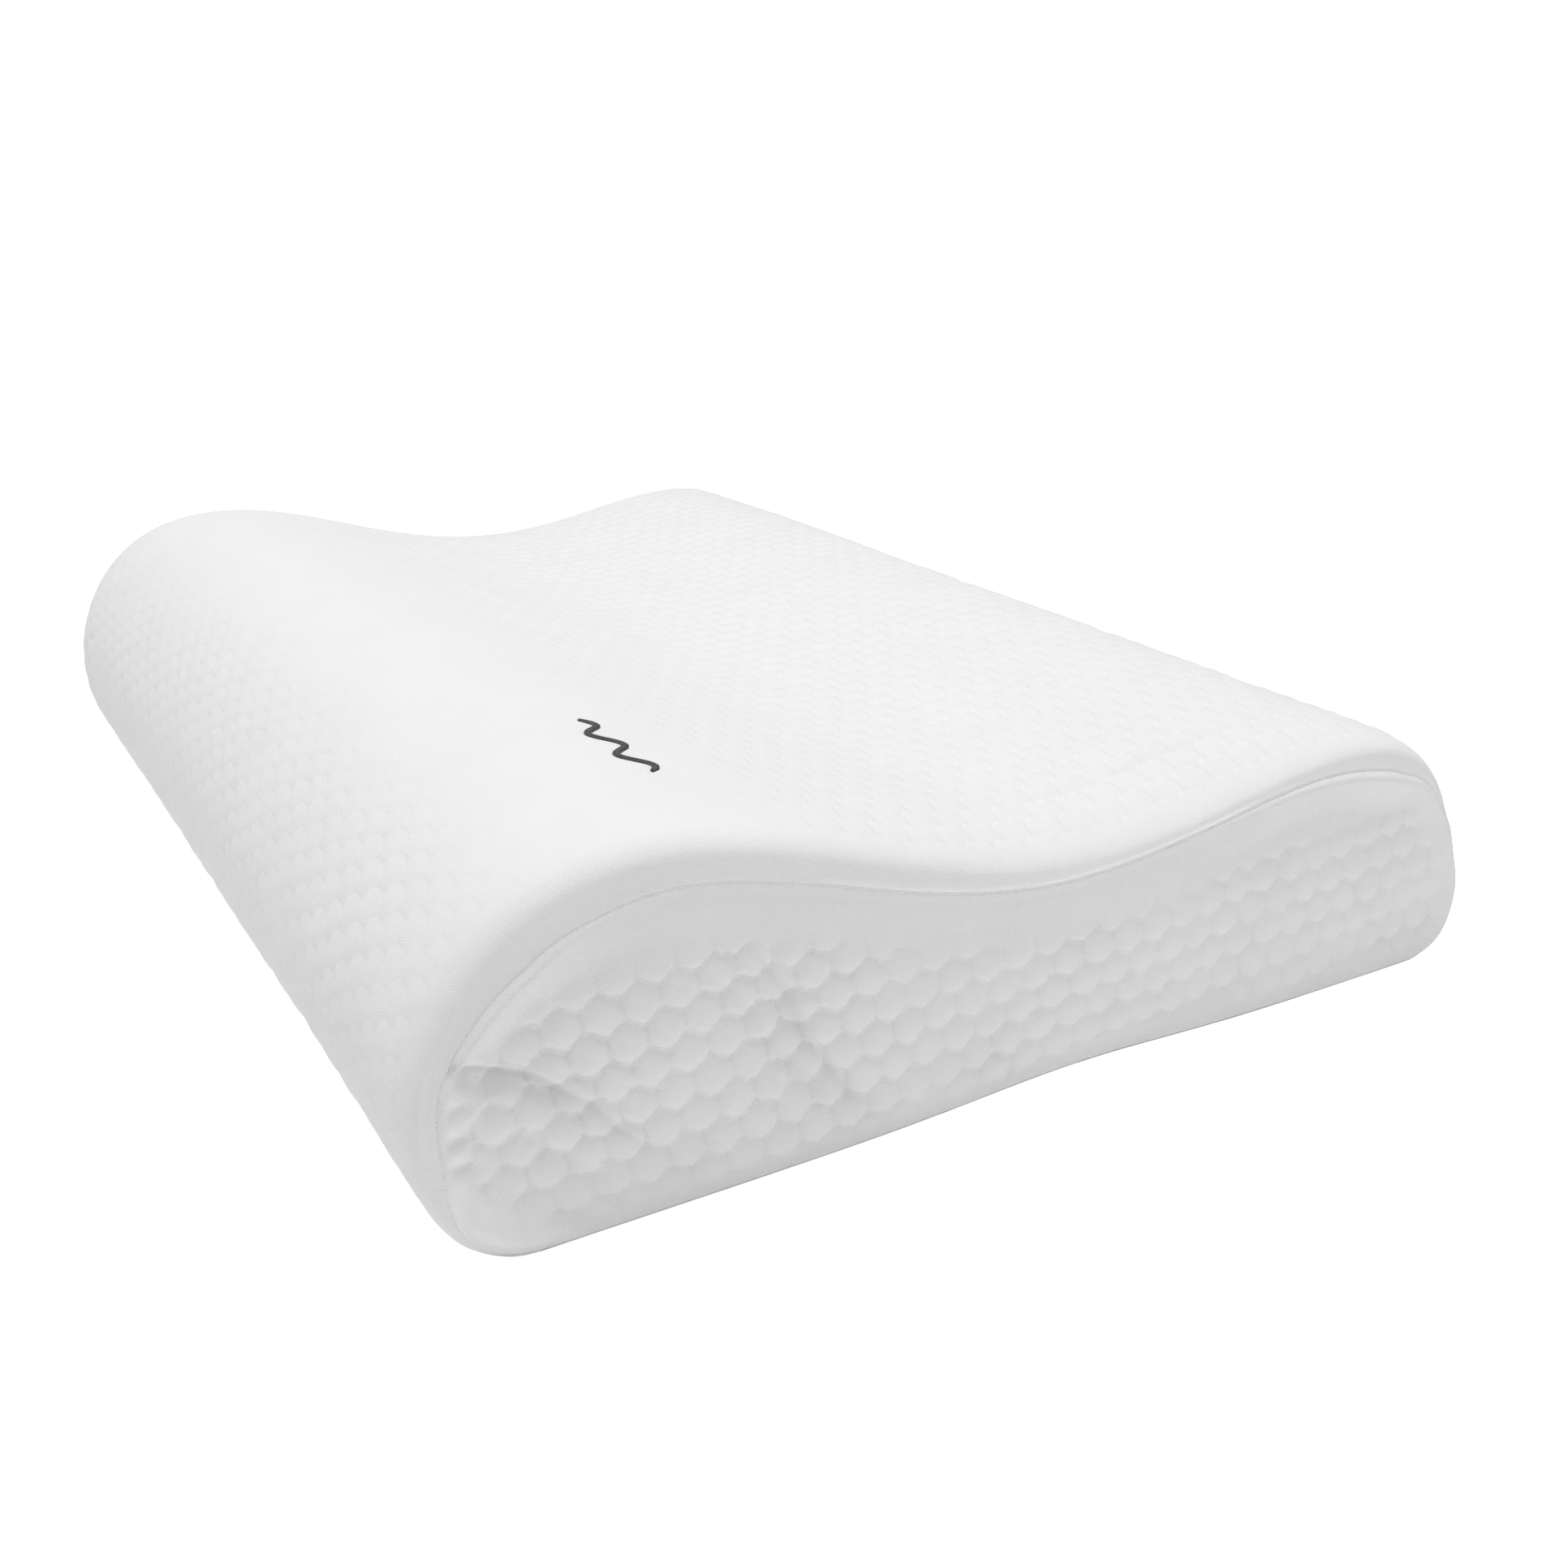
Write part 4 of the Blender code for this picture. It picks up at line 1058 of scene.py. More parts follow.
def build_wrap():
    """The wrap panel, and its finished grid for laying things on it."""
    s = wrap_rows()
    plain, coarse, c1 = wrap_grid(s)
    c2 = c1 + SLOT_STEPS
    r1, r2 = (int(np.argmin(np.abs(s - (ZIP_S + sign * SLOT_S)))) for sign in (-1, 1))
    rows, cols = plain.shape[:2]
    x = plain[..., 0].copy()
    normal = np.cross(np.gradient(plain, axis=1), np.roll(plain, -1, 0) - np.roll(plain, 1, 0))
    normal /= np.linalg.norm(normal, axis=2)[..., None] + 1e-12
    steps = np.linalg.norm(np.diff(plain, axis=1), axis=2)
    u = np.concatenate([np.zeros((rows, 1)), np.cumsum(steps, axis=1)], 1)
    mid = cols // 2
    u = u - u[:, mid:mid + 1] + x[:, mid:mid + 1]
    row_s = np.repeat(s[:, None], cols, 1)
    depth = quilting_depth(x, row_s)
    across = u + 0.9 * waves(x, row_s, seed=61, size=70.0)       # the cell rows run unevenly
    along = row_s + 0.9 * waves(x, row_s, seed=62, size=80.0)
    relief = wrap_relief(x, row_s, across, along, depth)
    shape = plain + normal * relief[..., None] + wrap_swell(s, coarse) * 0.45
    shape_right_end(shape, floor=0.02)

    index = np.arange(rows * cols).reshape(rows, cols)
    quads = quad_grid(index, close_rows=True)
    keep = np.ones(quads.shape[:2], bool)
    keep[r1:r2, c1:c2] = False
    loop = np.concatenate([index[r1, c1:c2], index[r1:r2, c2],
                           index[r2, c2:c1:-1], index[r2:r1:-1, c1]])
    verts = shape.reshape(-1, 3)
    extra = hem_rings(verts, normal.reshape(-1, 3), row_s.ravel(), loop,
                      np.isin(loop, index[:, c1]), np.isin(loop, index[:, c2]))
    new = len(verts) + np.arange(len(HEM) * len(loop)).reshape(len(HEM), -1)
    hem = quad_grid(np.vstack([loop, new]), close_cols=True)
    verts = np.concatenate([verts] + extra)
    fabric = np.stack([across, along], -1).reshape(-1, 2)
    fabric = np.concatenate([fabric] + [fabric[loop]] * len(HEM))
    quilt = np.concatenate([np.clip(depth / 0.5, 0, 1).ravel(), np.zeros(new.size)])
    faces = np.concatenate([quads[keep], hem.reshape(-1, 4)])
    used = np.zeros(len(verts), bool)
    used[faces.ravel()] = True
    faces = (np.cumsum(used) - 1)[faces]
    ob = mesh_object("cover_wrap_knit", verts[used], faces, KNIT, fabric[used],
                     {"quilt": quilt[used], "fold": np.zeros(used.sum())})
    return outward(ob), {"s": s, "x": x, "points": shape, "normals": normal}


wrap_object, COVER = build_wrap()
settle(wrap_object, "pillow", "quilted_knit", "cover_wrap")


def on_cover(s, h, x):
    """Points h above the finished cover, at arc length s and x along the length."""
    s, h, x = (np.array(v, float) for v in np.broadcast_arrays(s, h, x))
    rows, xs = COVER["s"], COVER["x"]
    out = []
    for s_value, height, x_value in zip(s.ravel(), h.ravel(), x.ravel()):
        i = int(np.clip(np.searchsorted(rows, s_value) - 1, 0, len(rows) - 2))
        t = (s_value - rows[i]) / (rows[i + 1] - rows[i])
        j = int(np.clip(np.searchsorted(xs[i], x_value) - 1, 0, xs.shape[1] - 2))
        f = (x_value - xs[i, j]) / (xs[i, j + 1] - xs[i, j])
        point, normal = (
            (grid[i, j] * (1 - f) + grid[i, j + 1] * f) * (1 - t)
            + (grid[i + 1, j] * (1 - f) + grid[i + 1, j + 1] * f) * t
            for grid in (COVER["points"], COVER["normals"]))
        out.append(point + normal * height)
    return np.array(out).reshape(*s.shape, 3)


# ---- cover, end panels -----------------------------------------------------------------------
# creases of the right panel, running downward: (y, z) points, then depth, width of the wall
# above, width of the ramp below, and strength of the painted shade along it
CREASES = (
    (((-174.0, 60.0), (-165.9, 58.1), (-157.0, 54.2), (-147.2, 50.0), (-139.5, 43.4),
      (-132.4, 37.9), (-128.0, 31.0), (-121.0, 23.7), (-113.0, 17.0), (-107.0, 12.2)),
     3.0, 1.3, 5.0, 1.0),
    (((-93.0, 79.0), (-89.7, 74.1), (-82.0, 64.8), (-75.8, 54.9), (-70.9, 39.3),
      (-63.0, 27.5), (-56.2, 15.7), (-50.0, 6.0)), 2.3, 2.5, 9.0, 0.32),
    (((-104.0, 72.0), (-99.0, 66.2), (-92.2, 58.7), (-86.0, 50.4), (-81.5, 39.9),
      (-73.3, 30.6), (-67.5, 21.9), (-61.6, 15.7)), 1.1, 2.4, 6.0, 0.18),
    (((-150.0, 33.0), (-143.0, 27.0), (-136.0, 20.0), (-129.0, 12.0), (-124.0, 5.0)),
     1.1, 1.9, 6.0, 0.2),
)
# short puckers running in from the right panel's front seam: (y, z) start and end
PUCKERS = (((-174.0, 49.0), (-160.0, 47.0)), ((-173.5, 40.0), (-160.0, 38.0)),
           ((-172.5, 32.5), (-157.0, 29.0)))
ROW_TURN = 6.0                      # turn of the cell rows, in degrees
CELL_UP, CELL_ALONG = 0.5, 0.4      # where a cell centre falls, in row and cell pitches
# extra plain margin inside the seam: y, z, width
PLAIN_MARGIN = (
    (-100, 0, 0.0), (-179, 40, 0.0), (-160, 92, 4.0), (-106, 105, 11.0), (-20, 82, 8.0),
    (60, 78, 8.0), (130, 84, 10.0), (170, 62, 3.0), (179, 30, 0.0), (0, 0, 0.0))
PANEL_EDGE = -0.35                  # the panel's outline, in from the seam line
# rings inward from the outline: in from it, behind the end plane, share of the rolled rim
RIM_RINGS = (
    (0.0, 1.8, 0.0), (0.12, 0.90, 0.0), (0.28, 0.42, 0.0), (0.46, 0.18, 0.12),
    (0.78, 0.04, 0.48), (1.15, -0.04, 0.82), (1.65, -0.05, 1.0),
    (2.4, 0.0, 1.0), (3.3, 0.0, 0.0), (4.5, 0.0, 0.0), (6.0, 0.0, 0.0))
ROLLED = 7                          # the rings after these carry the cloth's relief


def panel_fabric(side, y, z):
    """Fabric coordinates on an end panel: across and along the cell rows."""
    angle = math.radians(ROW_TURN)
    along = y * math.cos(angle) + z * math.sin(angle)
    across = -y * math.sin(angle) + z * math.cos(angle)
    along = along - CELL_ALONG * PITCH + 0.6 * waves(y, z, seed=64 + side, size=70.0)
    across = (across - CELL_UP * math.sqrt(3) * PITCH
              + 0.6 * waves(y, z, seed=63 + side, size=60.0))
    return np.stack([across, along], 1)


def panel_folds(y, z):
    """Height in mm of the right panel's creases and puckers, and painted shade along its creases."""
    shade, folds = np.zeros(len(y)), np.zeros(len(y))
    for line, depth, wall, ramp, dark in CREASES:       # a steep wall above, a long ramp below
        dist, left, share = polyline_distance(y, z, line)
        if line[0][0] > -150.0:
            taper = ease(share / 0.35) * ease((1.0 - share) / 0.30)
        else:                                           # runs out of the seam at full depth
            taper = ease((1.0 - share) / 0.80)
        folds -= depth * taper * bell(dist, np.where(left > 0, wall, ramp))
        shade = np.maximum(shade, dark * taper * bell(dist, np.where(left > 0, 1.7, 1.5)))
    # painted shade along the crease, strongest right beside it
    for line in PUCKERS:                                # a sharp valley between soft ridges
        dist, _, share = polyline_distance(y, z, line)
        taper = ease((1.0 - share) / 0.7)
        folds -= 0.9 * taper * np.exp(-dist / 1.5)
        folds += 0.5 * taper * bell(dist - 4.0, 2.4)
    return folds, shade


def panel_relief(side, y, z, arc, inside):
    """Height over the plain panel, height of the folds, quilting depth, and painted shade in the
    creases, with painted light where it is negative.
    """
    below_corner = 26.0 - z - (y + 165.0) * 0.85        # distance into the front bottom corner
    corner = ease((below_corner + 1.0) / 9.0) * ease((-128.0 - y) / 10.0)
    if side > 0:
        deep = 0.66 + 0.50 * bell(y + 118.0, 66.0) * bell(z - 42.0, 34.0)
        deep += 0.14 * bell(y + 20.0, 60.0)
        deep *= (1.0 - 0.88 * corner)
    else:
        deep = 0.42 + 0.3 * bell(y - 90.0, 70.0) * bell(z - 40.0, 30.0)
    margin = around(PLAIN_MARGIN, arc)
    fade = ease((inside - 2.0 - margin * 0.6) / (6.0 + margin * 0.5))
    deep = deep * fade * (0.9 + 0.3 * waves(y, z, seed=21 + side, size=60.0))
    number, across, along = hexes(*panel_fabric(side, y, z).T)
    # each cell leans, so its lower edge stands proud, as cloth does hanging under its own weight
    height = deep * (cushion(across, along, lean=END_LEAN) * (0.8 + 0.4 * number) - 0.45)
    height += 0.16 * waves(y, z, seed=31 + side, size=34.0) * ease(inside / 10.0)
    height += 0.45 * waves(y, z, seed=41 + side, size=95.0, octaves=2) * ease(inside / 16.0)
    folds, shade = np.zeros(len(y)), np.zeros(len(y))
    if side > 0:
        # a swell inside the seam, and the bottom corner drawn outward
        height += 1.0 * np.exp(-inside / 18.0) * ease(z / 60.0) * ease(inside / 6.0)
        height += (0.23 * np.clip(below_corner, 0.0, 30.0) * ease((-126.0 - y) / 12.0)
                   * ease(inside / 5.0))
        folds, shade = panel_folds(y, z)
        shade -= 0.35 * corner                          # painted light: the corner's colour is made lighter
    return height, folds, deep, np.clip(shade, -0.4, 1.0)


def nearest_arc(y, z):
    """Arc length of the section's nearest point."""
    stations = np.concatenate([np.linspace(0.0, S_FLAT, 1500)[::10],
                               np.linspace(S_FLAT, PERIMETER, 100)])
    points, normals = contour_at(stations)
    out = np.zeros(len(y))
    for i in range(0, len(y), 4000):                    # in batches, to spare memory
        dy = y[i:i + 4000, None] - points[None, :, 0]
        dz = z[i:i + 4000, None] - points[None, :, 1]
        k = np.argmin(dy ** 2 + dz ** 2, 1)
        row = np.arange(len(k))
        along = dy[row, k] * normals[k, 1] - dz[row, k] * normals[k, 0]
        out[i:i + 4000] = stations[k] + np.clip(along, -1.9, 1.9)
    return out


def panel_inner(side, loop):
    """Points inside the panel, finer along the right panel's two main creases."""
    inner, dist = inside_points(loop, pitch=1.3, margin=0.9)
    if side < 0:
        return inner, dist

    def from_creases(points):
        return np.min([polyline_distance(points[:, 0], points[:, 1], crease[0])[0]
                       for crease in CREASES[:2]], 0)

    fine, fine_dist = inside_points(loop, pitch=0.72, margin=0.6)
    coarse_kept, fine_kept = from_creases(inner) >= 3.6, from_creases(fine) < 3.2
    return (np.concatenate([inner[coarse_kept], fine[fine_kept]]),
            np.concatenate([dist[coarse_kept], fine_dist[fine_kept]]))


def build_panel(side, name):
    s = np.concatenate([np.linspace(0.0, S_FLAT, 400)[:-1],
                        np.linspace(S_FLAT, PERIMETER, 160, endpoint=False)])
    count = len(s)
    point, normal = contour_at(s)
    inset = seam_inset(s, side)
    gap, wide = seam_gap(inset), around(RIM_WIDTH, s)
    loops = [point - normal
             * (inset + (PANEL_EDGE + k + (wide - 1.0) * max(0.0, k - 0.3)) * gap)[:, None]
             for k, _, _ in RIM_RINGS]
    inner, dist = panel_inner(side, loops[-1])
    filled, triangles, order = fill_loop(loops[-1], inner)
    plain = len(filled)
    y, z = np.concatenate([filled] + loops[ROLLED:-1]).T
    arc = nearest_arc(y, z)
    # distance inside the rolled rim
    flat_start = RIM_RINGS[ROLLED][0]
    own = arc[:plain]
    inside = ((RIM_RINGS[-1][0] - flat_start) * seam_gap(seam_inset(own, side))
              * around(RIM_WIDTH, own))
    inside += depth_inside(order, count, dist)
    inside = np.concatenate([inside] + [(ring[0] - flat_start) * gap * wide
                                        for ring in RIM_RINGS[ROLLED:-1]])
    height, folds, deep, shade = panel_relief(side, y, z, arc, inside)
    height = height * ease(inside / 3.0) + folds * ease((inside + 0.6) / 1.8)
    rim = rim_height(arc, side) * bell(inside, 3.0, 1.6)     # sinks back to the flat cloth
    body = -rim - 0.15 * (1.0 - np.exp(-inside / 16.0))
    swell = 0.7 * panel_swell(side, y, z) * ease(inside / 12.0)[:, None]
    if side < 0:                                             # stays flat under the label
        label = bell(y - 112.0, 13.5, 6) * bell(z - 56.0, 21.0, 6)
        height, deep = height * (1.0 - label), deep * (1.0 - 0.9 * label)
        body = body + (0.75 - body) * label
        swell = swell * (1.0 - label)[:, None]
    verts = [np.column_stack([side * (HALF - body + height), y, z]) + swell]
    fabric = [panel_fabric(side, y, z)]
    proud = rim_height(s, side)
    for (_, back, roll), loop in zip(RIM_RINGS[:ROLLED], loops):
        verts.append(np.column_stack([side * (HALF - back + roll * proud), loop]))
        fabric.append(panel_fabric(side, *loop.T) + np.array([max(back, 0.0), 0.0]))
    verts = np.concatenate(verts)
    shape_right_end(verts, floor=0.12)
    on_loop = {int(o): k for k, o in enumerate(order) if 0 <= o < count}
    rolled = len(y) + np.arange(ROLLED * count).reshape(ROLLED, count)
    flat = plain + np.arange(len(y) - plain).reshape(-1, count)
    rings = np.vstack([rolled, flat, [on_loop[i] for i in range(count)]])
    faces = (triangles if side > 0 else triangles[:, ::-1]).tolist()
    faces += quad_grid(rings, close_cols=True).reshape(-1, 4).tolist()
    quilt = np.concatenate([np.clip(deep / 0.9, 0, 1), np.zeros(rolled.size)])
    # painted shade of the creases and painted light of the corner, carried as the fold attribute
    fold = np.concatenate([shade] + [shade[plain:plain + count]] * ROLLED)
    ob = mesh_object(f"end_panel_{name}_knit", verts, faces, KNIT_ENDS,
                     np.concatenate(fabric), {"quilt": quilt, "fold": fold})
    recalculate_normals(ob)
    return outward(ob)


def build_seam_thread(side, name):
    """One thread down in the seam that dips at every stitch."""
    s = np.linspace(0.0, PERIMETER, 1500, endpoint=False)
    point, normal = contour_at(s)
    stitch = 2.9
    beat = np.mod(s / stitch, 1.0)
    dip = 0.08 * bell(beat - 0.5, 0.15)
    inset = seam_inset(s, side)
    sway = (0.02 + 0.04 * np.sin(beat * 2 * math.pi)) * seam_gap(inset)
    x = side * (HALF - 0.25 - dip - 0.3 * tight_corner(inset))
    path = np.column_stack([x, point - normal * (inset + sway)[:, None]])
    shape_right_end(path)
    return outward(tube_object(f"seam_thread_{name}_stitches", [path], 0.36, 8, WHITE_THREAD,
                               closed=True, floor=0.05))


for side, name in ((1, "right"), (-1, "left")):
    settle(build_panel(side, name), "pillow", "quilted_knit_ends", "end_panel_" + name)
    settle(build_seam_thread(side, name), "pillow", "sewing_thread", "seam_thread_" + name)


# ---- liner and foam, inside ------------------------------------------------------------------
BLOCK_S = np.linspace(0.0, PERIMETER, 240, endpoint=False)
BLOCK_ROUND = 8.0               # length of the blocks' rounded ends


def inner_block(offset, end_gap, columns, unevenness=0.0):
    """A soft block set in from the section, rounded at its ends: (rings, round, 3)."""
    point, normal = contour_at(BLOCK_S)
    from_zip = np.abs(BLOCK_S - ZIP_S)
    straight = HALF - end_gap - BLOCK_ROUND
    ends = {1: [], -1: []}
    for side, stations in ends.items():
        inset = seam_inset(BLOCK_S, side)
        for angle in np.linspace(0, math.pi / 2, 9)[:-1]:
            run = math.sin(angle)
            stations.append((side * (straight + BLOCK_ROUND * run),
                             0.75 * inset * (1 - math.sqrt(1 - run ** 2))))
    body = [(x, 0.0) for x in np.linspace(-straight, straight, columns)[1:-1]]
    rings = []
    for x, extra in ends[-1][::-1] + body + ends[1]:
        pressed = 1.6 * np.clip((12.0 - from_zip) / 5.0, 0, 1) * (abs(x) < 219.0)   # by the zip
        rings.append(np.column_stack([np.full(len(BLOCK_S), x),
                                      point - normal * (offset + extra + pressed)[:, None]]))
    rings = np.stack(rings)
    if unevenness:
        sink = waves(rings[..., 0], BLOCK_S[None, :], seed=77, size=30.0) * unevenness
        rings[..., 1:] -= normal[None] * np.abs(sink)[..., None]
    return rings


def block_object(name, rings, material, capped=False):
    index = np.arange(rings.shape[0] * rings.shape[1]).reshape(rings.shape[:2])
    faces = quad_grid(index, close_cols=True).reshape(-1, 4).tolist()
    if capped:
        faces += [index[0].tolist(), index[-1, ::-1].tolist()]
    fabric = np.stack([rings[..., 0], np.tile(BLOCK_S, (len(rings), 1))], -1)
    return mesh_object(name, rings.reshape(-1, 3), faces, material, fabric.reshape(-1, 2))


def build_liner_end(ring, side, name):
    _, normal = contour_at(BLOCK_S)
    edge = ring[:, 1:] - normal * 0.9
    inner, dist = inside_points(edge, pitch=4.0, margin=2.0)
    points, triangles, order = fill_loop(edge, inner)
    inside = depth_inside(order, len(edge), dist)
    y, z = points.T
    x = (abs(ring[0, 0]) - 0.25 + 0.35 * (1 - np.exp(-inside / 9.0))
         + 0.15 * waves(y, z, seed=5, size=40.0) * ease(inside / 9.0))
    return outward(mesh_object(
        f"liner_end_{name}_jersey", np.column_stack([side * x, points]),
        triangles if side > 0 else triangles[:, ::-1], JERSEY, points))


def build_liner_seam(ring, side, name):
    count, per_stitch = 900, 3.0
    _, normal = contour_at(BLOCK_S)
    seam = ring[:, 1:] - normal * 0.45
    fine = np.linspace(0, len(seam), count, endpoint=False)
    i = np.floor(fine).astype(int) % len(seam)
    t = (fine - np.floor(fine))[:, None]
    around_end = seam[i] * (1 - t) + seam[(i + 1) % len(seam)] * t
    sunk = np.mod(np.arange(count) / per_stitch, 1.0) > 0.5
    x = side * (abs(ring[0, 0]) - 0.1) - side * 0.3 * sunk
    return outward(tube_object(f"liner_seam_{name}_stitches",
                               [np.column_stack([x, around_end])], 0.27, 6, WHITE_THREAD,
                               closed=True))


foam = block_object("foam_core_block",
                    inner_block(offset=5.9, end_gap=6.2, columns=70, unevenness=0.18),
                    FOAM, capped=True)
recalculate_normals(foam, split_caps=True)
settle(foam, "pillow", "memory_foam", "foam_core")

liner_rings = inner_block(offset=4.75, end_gap=5.1, columns=64)
settle(outward(block_object("liner_wrap_jersey", liner_rings, JERSEY)),
       "pillow", "liner_jersey", "liner_wrap")
for side, name, ring in ((1, "right", liner_rings[-1]), (-1, "left", liner_rings[0])):
    settle(build_liner_end(ring, side, name), "pillow", "liner_jersey", "liner_end_" + name)
    settle(build_liner_seam(ring, side, name), "pillow", "sewing_thread", "liner_seam_" + name)


# ---- zip -------------------------------------------------------------------------------------
def build_tape(name, sign):
    """Woven tape: a thin closed strip with a bead beside the chain; its ends run under the cloth."""
    x = np.linspace(-216.6, 216.6, 217)
    across = np.array([0.85, 1.2, 2.0, 3.0, 4.2, 5.6, 7.2, 9.0, 11.0, 12.9])
    shape = (len(x), len(across))
    ripples = (0.10 * np.sin(x[:, None] * 0.21 + across[None, :] * 0.3)
               * ease((across - 3.4) / 3.0)[None, :])
    bead = 0.22 * bell(across - 3.7, 0.5)[None, :]
    s = ZIP_S + sign * np.tile(across, (len(x), 1))
    top = on_surface(s, -3.62 + ripples + bead - 0.02, x[:, None])
    low = on_surface(s, -4.05 + ripples, x[:, None])
    verts = np.concatenate([top.reshape(-1, 3), low.reshape(-1, 3)])
    fabric = np.stack([np.tile(x[:, None], (1, shape[1])), np.tile(across, (shape[0], 1))], -1)
    fabric = fabric.reshape(-1, 2)
    ob = mesh_object(f"zip_tape_{name}_woven", verts, double_sheet(*shape), TAPE,
                     np.concatenate([fabric, fabric]))
    recalculate_normals(ob)
    ob.data.set_sharp_from_angle(angle=math.radians(50))
    return ob


def build_coil(name, sign):
    """One nylon filament wound in flattened loops."""
    pitch, turns, per_turn = 1.9, 222, 12
    angle = np.arange(turns * per_turn + 1) / per_turn * 2 * math.pi
    x = -211.0 + (0.0 if sign < 0 else pitch / 2) + angle / TURN * pitch
    x = x[x < 211.2]
    angle = angle[:len(x)]
    across = 1.9 + 1.12 * np.cos(angle)
    height = -2.42 + 0.62 * np.sin(angle)
    lean = 0.32 * pitch * np.sin(angle)
    path = on_surface(ZIP_S + sign * across, height, x + lean)
    return outward(tube_object(f"zip_coil_{name}_spiral", [path], 0.31, 7, NYLON),
                   centre=(0, 0.17, 0.034))


def build_lockstitch(name, sign):
    """Each stitch rises from one hole and sinks in the next."""
    step, length = 3.0, 2.55
    t = np.linspace(0, 1, 8)
    height = -0.62 + 0.62 * np.sin(t * math.pi) ** 0.6
    paths = []
    x = -212.0
    while x + length < 212.6:
        s = ZIP_S + sign * (STITCH_S + 0.10 * np.sin(x * 1.7))
        paths.append(on_surface(np.full(8, s), height, x + t * length))
        x += step
    return tube_object(f"zip_stitch_{name}_lockstitch", paths, 0.29, 6, WHITE_THREAD)


def build_bar_tack(name, sign):
    """A dense zigzag over the chain's end."""
    reach, crossings = 3.1, 15
    t = np.linspace(0, 1, 7)
    height = -3.5 + 1.9 * np.sin(t * math.pi) ** 0.4
    points = []
    for i in range(crossings):
        x = sign * (212.45 + 1.9 * i / (crossings - 1))
        start, stop = (-reach, reach) if i % 2 else (reach, -reach)
        points.append(on_surface(ZIP_S + start + (stop - start) * t, height, np.full(7, x)))
    return tube_object(f"zip_bartack_{name}_zigzag", [np.concatenate(points)], 0.16, 6,
                       WHITE_THREAD)


for name, sign in (("upper", -1), ("lower", 1)):
    settle(build_tape(name, sign), "pillow", "zip_tape", "zip_tape_" + name)
    settle(build_coil(name, sign), "pillow", "zip_nylon", "zip_coil_" + name)
    settle(build_lockstitch(name, sign), "pillow", "sewing_thread", "zip_stitch_" + name)

for name, sign in (("right", 1), ("left", -1)):
    settle(build_bar_tack(name, sign), "pillow", "sewing_thread", "zip_bartack_" + name)

for node in ("zip_slider", "zip_pull_tab"):
    part = NODES[node]
    part.data.materials.clear()
    part.data.materials.append(ENAMEL)


# ---- embroidered wave: satin stitches laid side by side across the stroke --------------------
def build_mark():
    length, wave_count, height, stroke = 52.0, 2.5, 9.0, 2.3
    stitch_gap, skew = 0.36, 0.22
    amplitude = 0.5 * (height - stroke)
    rate = 2 * math.pi * wave_count
    fine = np.linspace(0, 1, 4000)
    run = run_length(np.column_stack([length * (fine - 0.5), amplitude * np.sin(rate * fine)]))
    count = int(run[-1] / stitch_gap)
    draw = np.random.default_rng(3)
    t = np.linspace(-1, 1, 9)
    rise = -0.05 + 0.62 * np.sqrt(np.clip(1 - t ** 4, 0, 1)) - 0.55 * (np.abs(t) > 0.99)
    paths = []
    for distance in (np.arange(count) + 0.5) / count * run[-1]:
        share = np.interp(distance, run, fine)
        u, v = length * (share - 0.5), amplitude * math.sin(rate * share)
        slope = amplitude * rate / length * math.cos(rate * share)
        normal_u, normal_v = -slope / math.hypot(1, slope), 1 / math.hypot(1, slope)
        taper = min(1.0, 0.35 + min(share, 1 - share) * 14)
        half_width = stroke * 0.5 * taper + draw.uniform(-0.05, 0.05)
        stitch_u = u + t * half_width * normal_u + t * skew * normal_v
        stitch_v = v + t * half_width * normal_v - t * skew * normal_u
        paths.append(on_cover(MARK_S + stitch_v, rise, MARK_X + stitch_u))
    return tube_object("embroidered_mark_satin", paths, 0.215, 6, GREY_THREAD)


settle(build_mark(), "pillow", "embroidery_thread", "embroidered_mark")


# ---- care label: a folded blank satin ribbon, hanging from its stitched top edge -------------
def label_place():
    """x and y of the CAD label's middle and z of its top, in mm."""
    lo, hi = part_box("care_label")
    return (lo.x + hi.x) / 2 / MM, (lo.y + hi.y) / 2 / MM, hi.z / MM


def build_label():
    width, drop, thickness = 20.0, 34.2, 0.07
    x0, y0, top_z = label_place()
    # (x, z) down the outer layer, round the fold and up the inner one
    shares = np.linspace(0, 1, 60)
    outer = [(-0.14 - 0.14 * math.sin(t * math.pi) - 1.7 * t ** 2.2, -drop * t) for t in shares]
    fold = [(outer[-1][0] + 0.18 * (1 - math.cos(a)), -drop - 0.25 * math.sin(a))
            for a in np.linspace(0, math.pi, 8)[1:-1]]
    inner = [(0.16 + 0.10 * math.sin(t * math.pi) - 1.7 * t ** 2.2 + 0.06, -drop * t)
             for t in shares[::-1]]
    path = np.array(outer + fold + inner)
    along = np.gradient(path, axis=0)
    along /= np.linalg.norm(along, axis=1)[:, None]
    px, pz = path[:, :1], path[:, 1:]
    normal_x, normal_z = along[:, 1:], -along[:, :1]
    v = np.linspace(-0.5, 0.5, 26)[None, :]
    hang = -pz / drop
    cup = -0.55 * (2 * v) ** 2 * hang ** 1.3 + 0.25 * np.sin(v * 7.0 + pz * 0.12) * hang
    y = y0 + v * width + 0.15 * np.sin(pz * 0.3) * (np.abs(v) > 0.49)
    verts = []
    for layer in (0.0, -thickness):
        x = x0 + px + normal_x * layer + cup
        z = top_z - 0.3 + pz + normal_z * layer + 0 * v
        verts.append(np.stack([x, y, z], -1).reshape(-1, 3))
    fabric = np.stack(np.broadcast_arrays(v * width, run_length(path)[:, None]), -1)
    fabric = fabric.reshape(-1, 2)
    faces = double_sheet(len(path), v.size)[:, [0, 3, 2, 1]]
    ob = mesh_object("care_label_ribbon", np.concatenate(verts), faces, SATIN,
                     np.concatenate([fabric, fabric]))
    recalculate_normals(ob)
    ob.data.set_sharp_from_angle(angle=math.radians(60))
    return ob


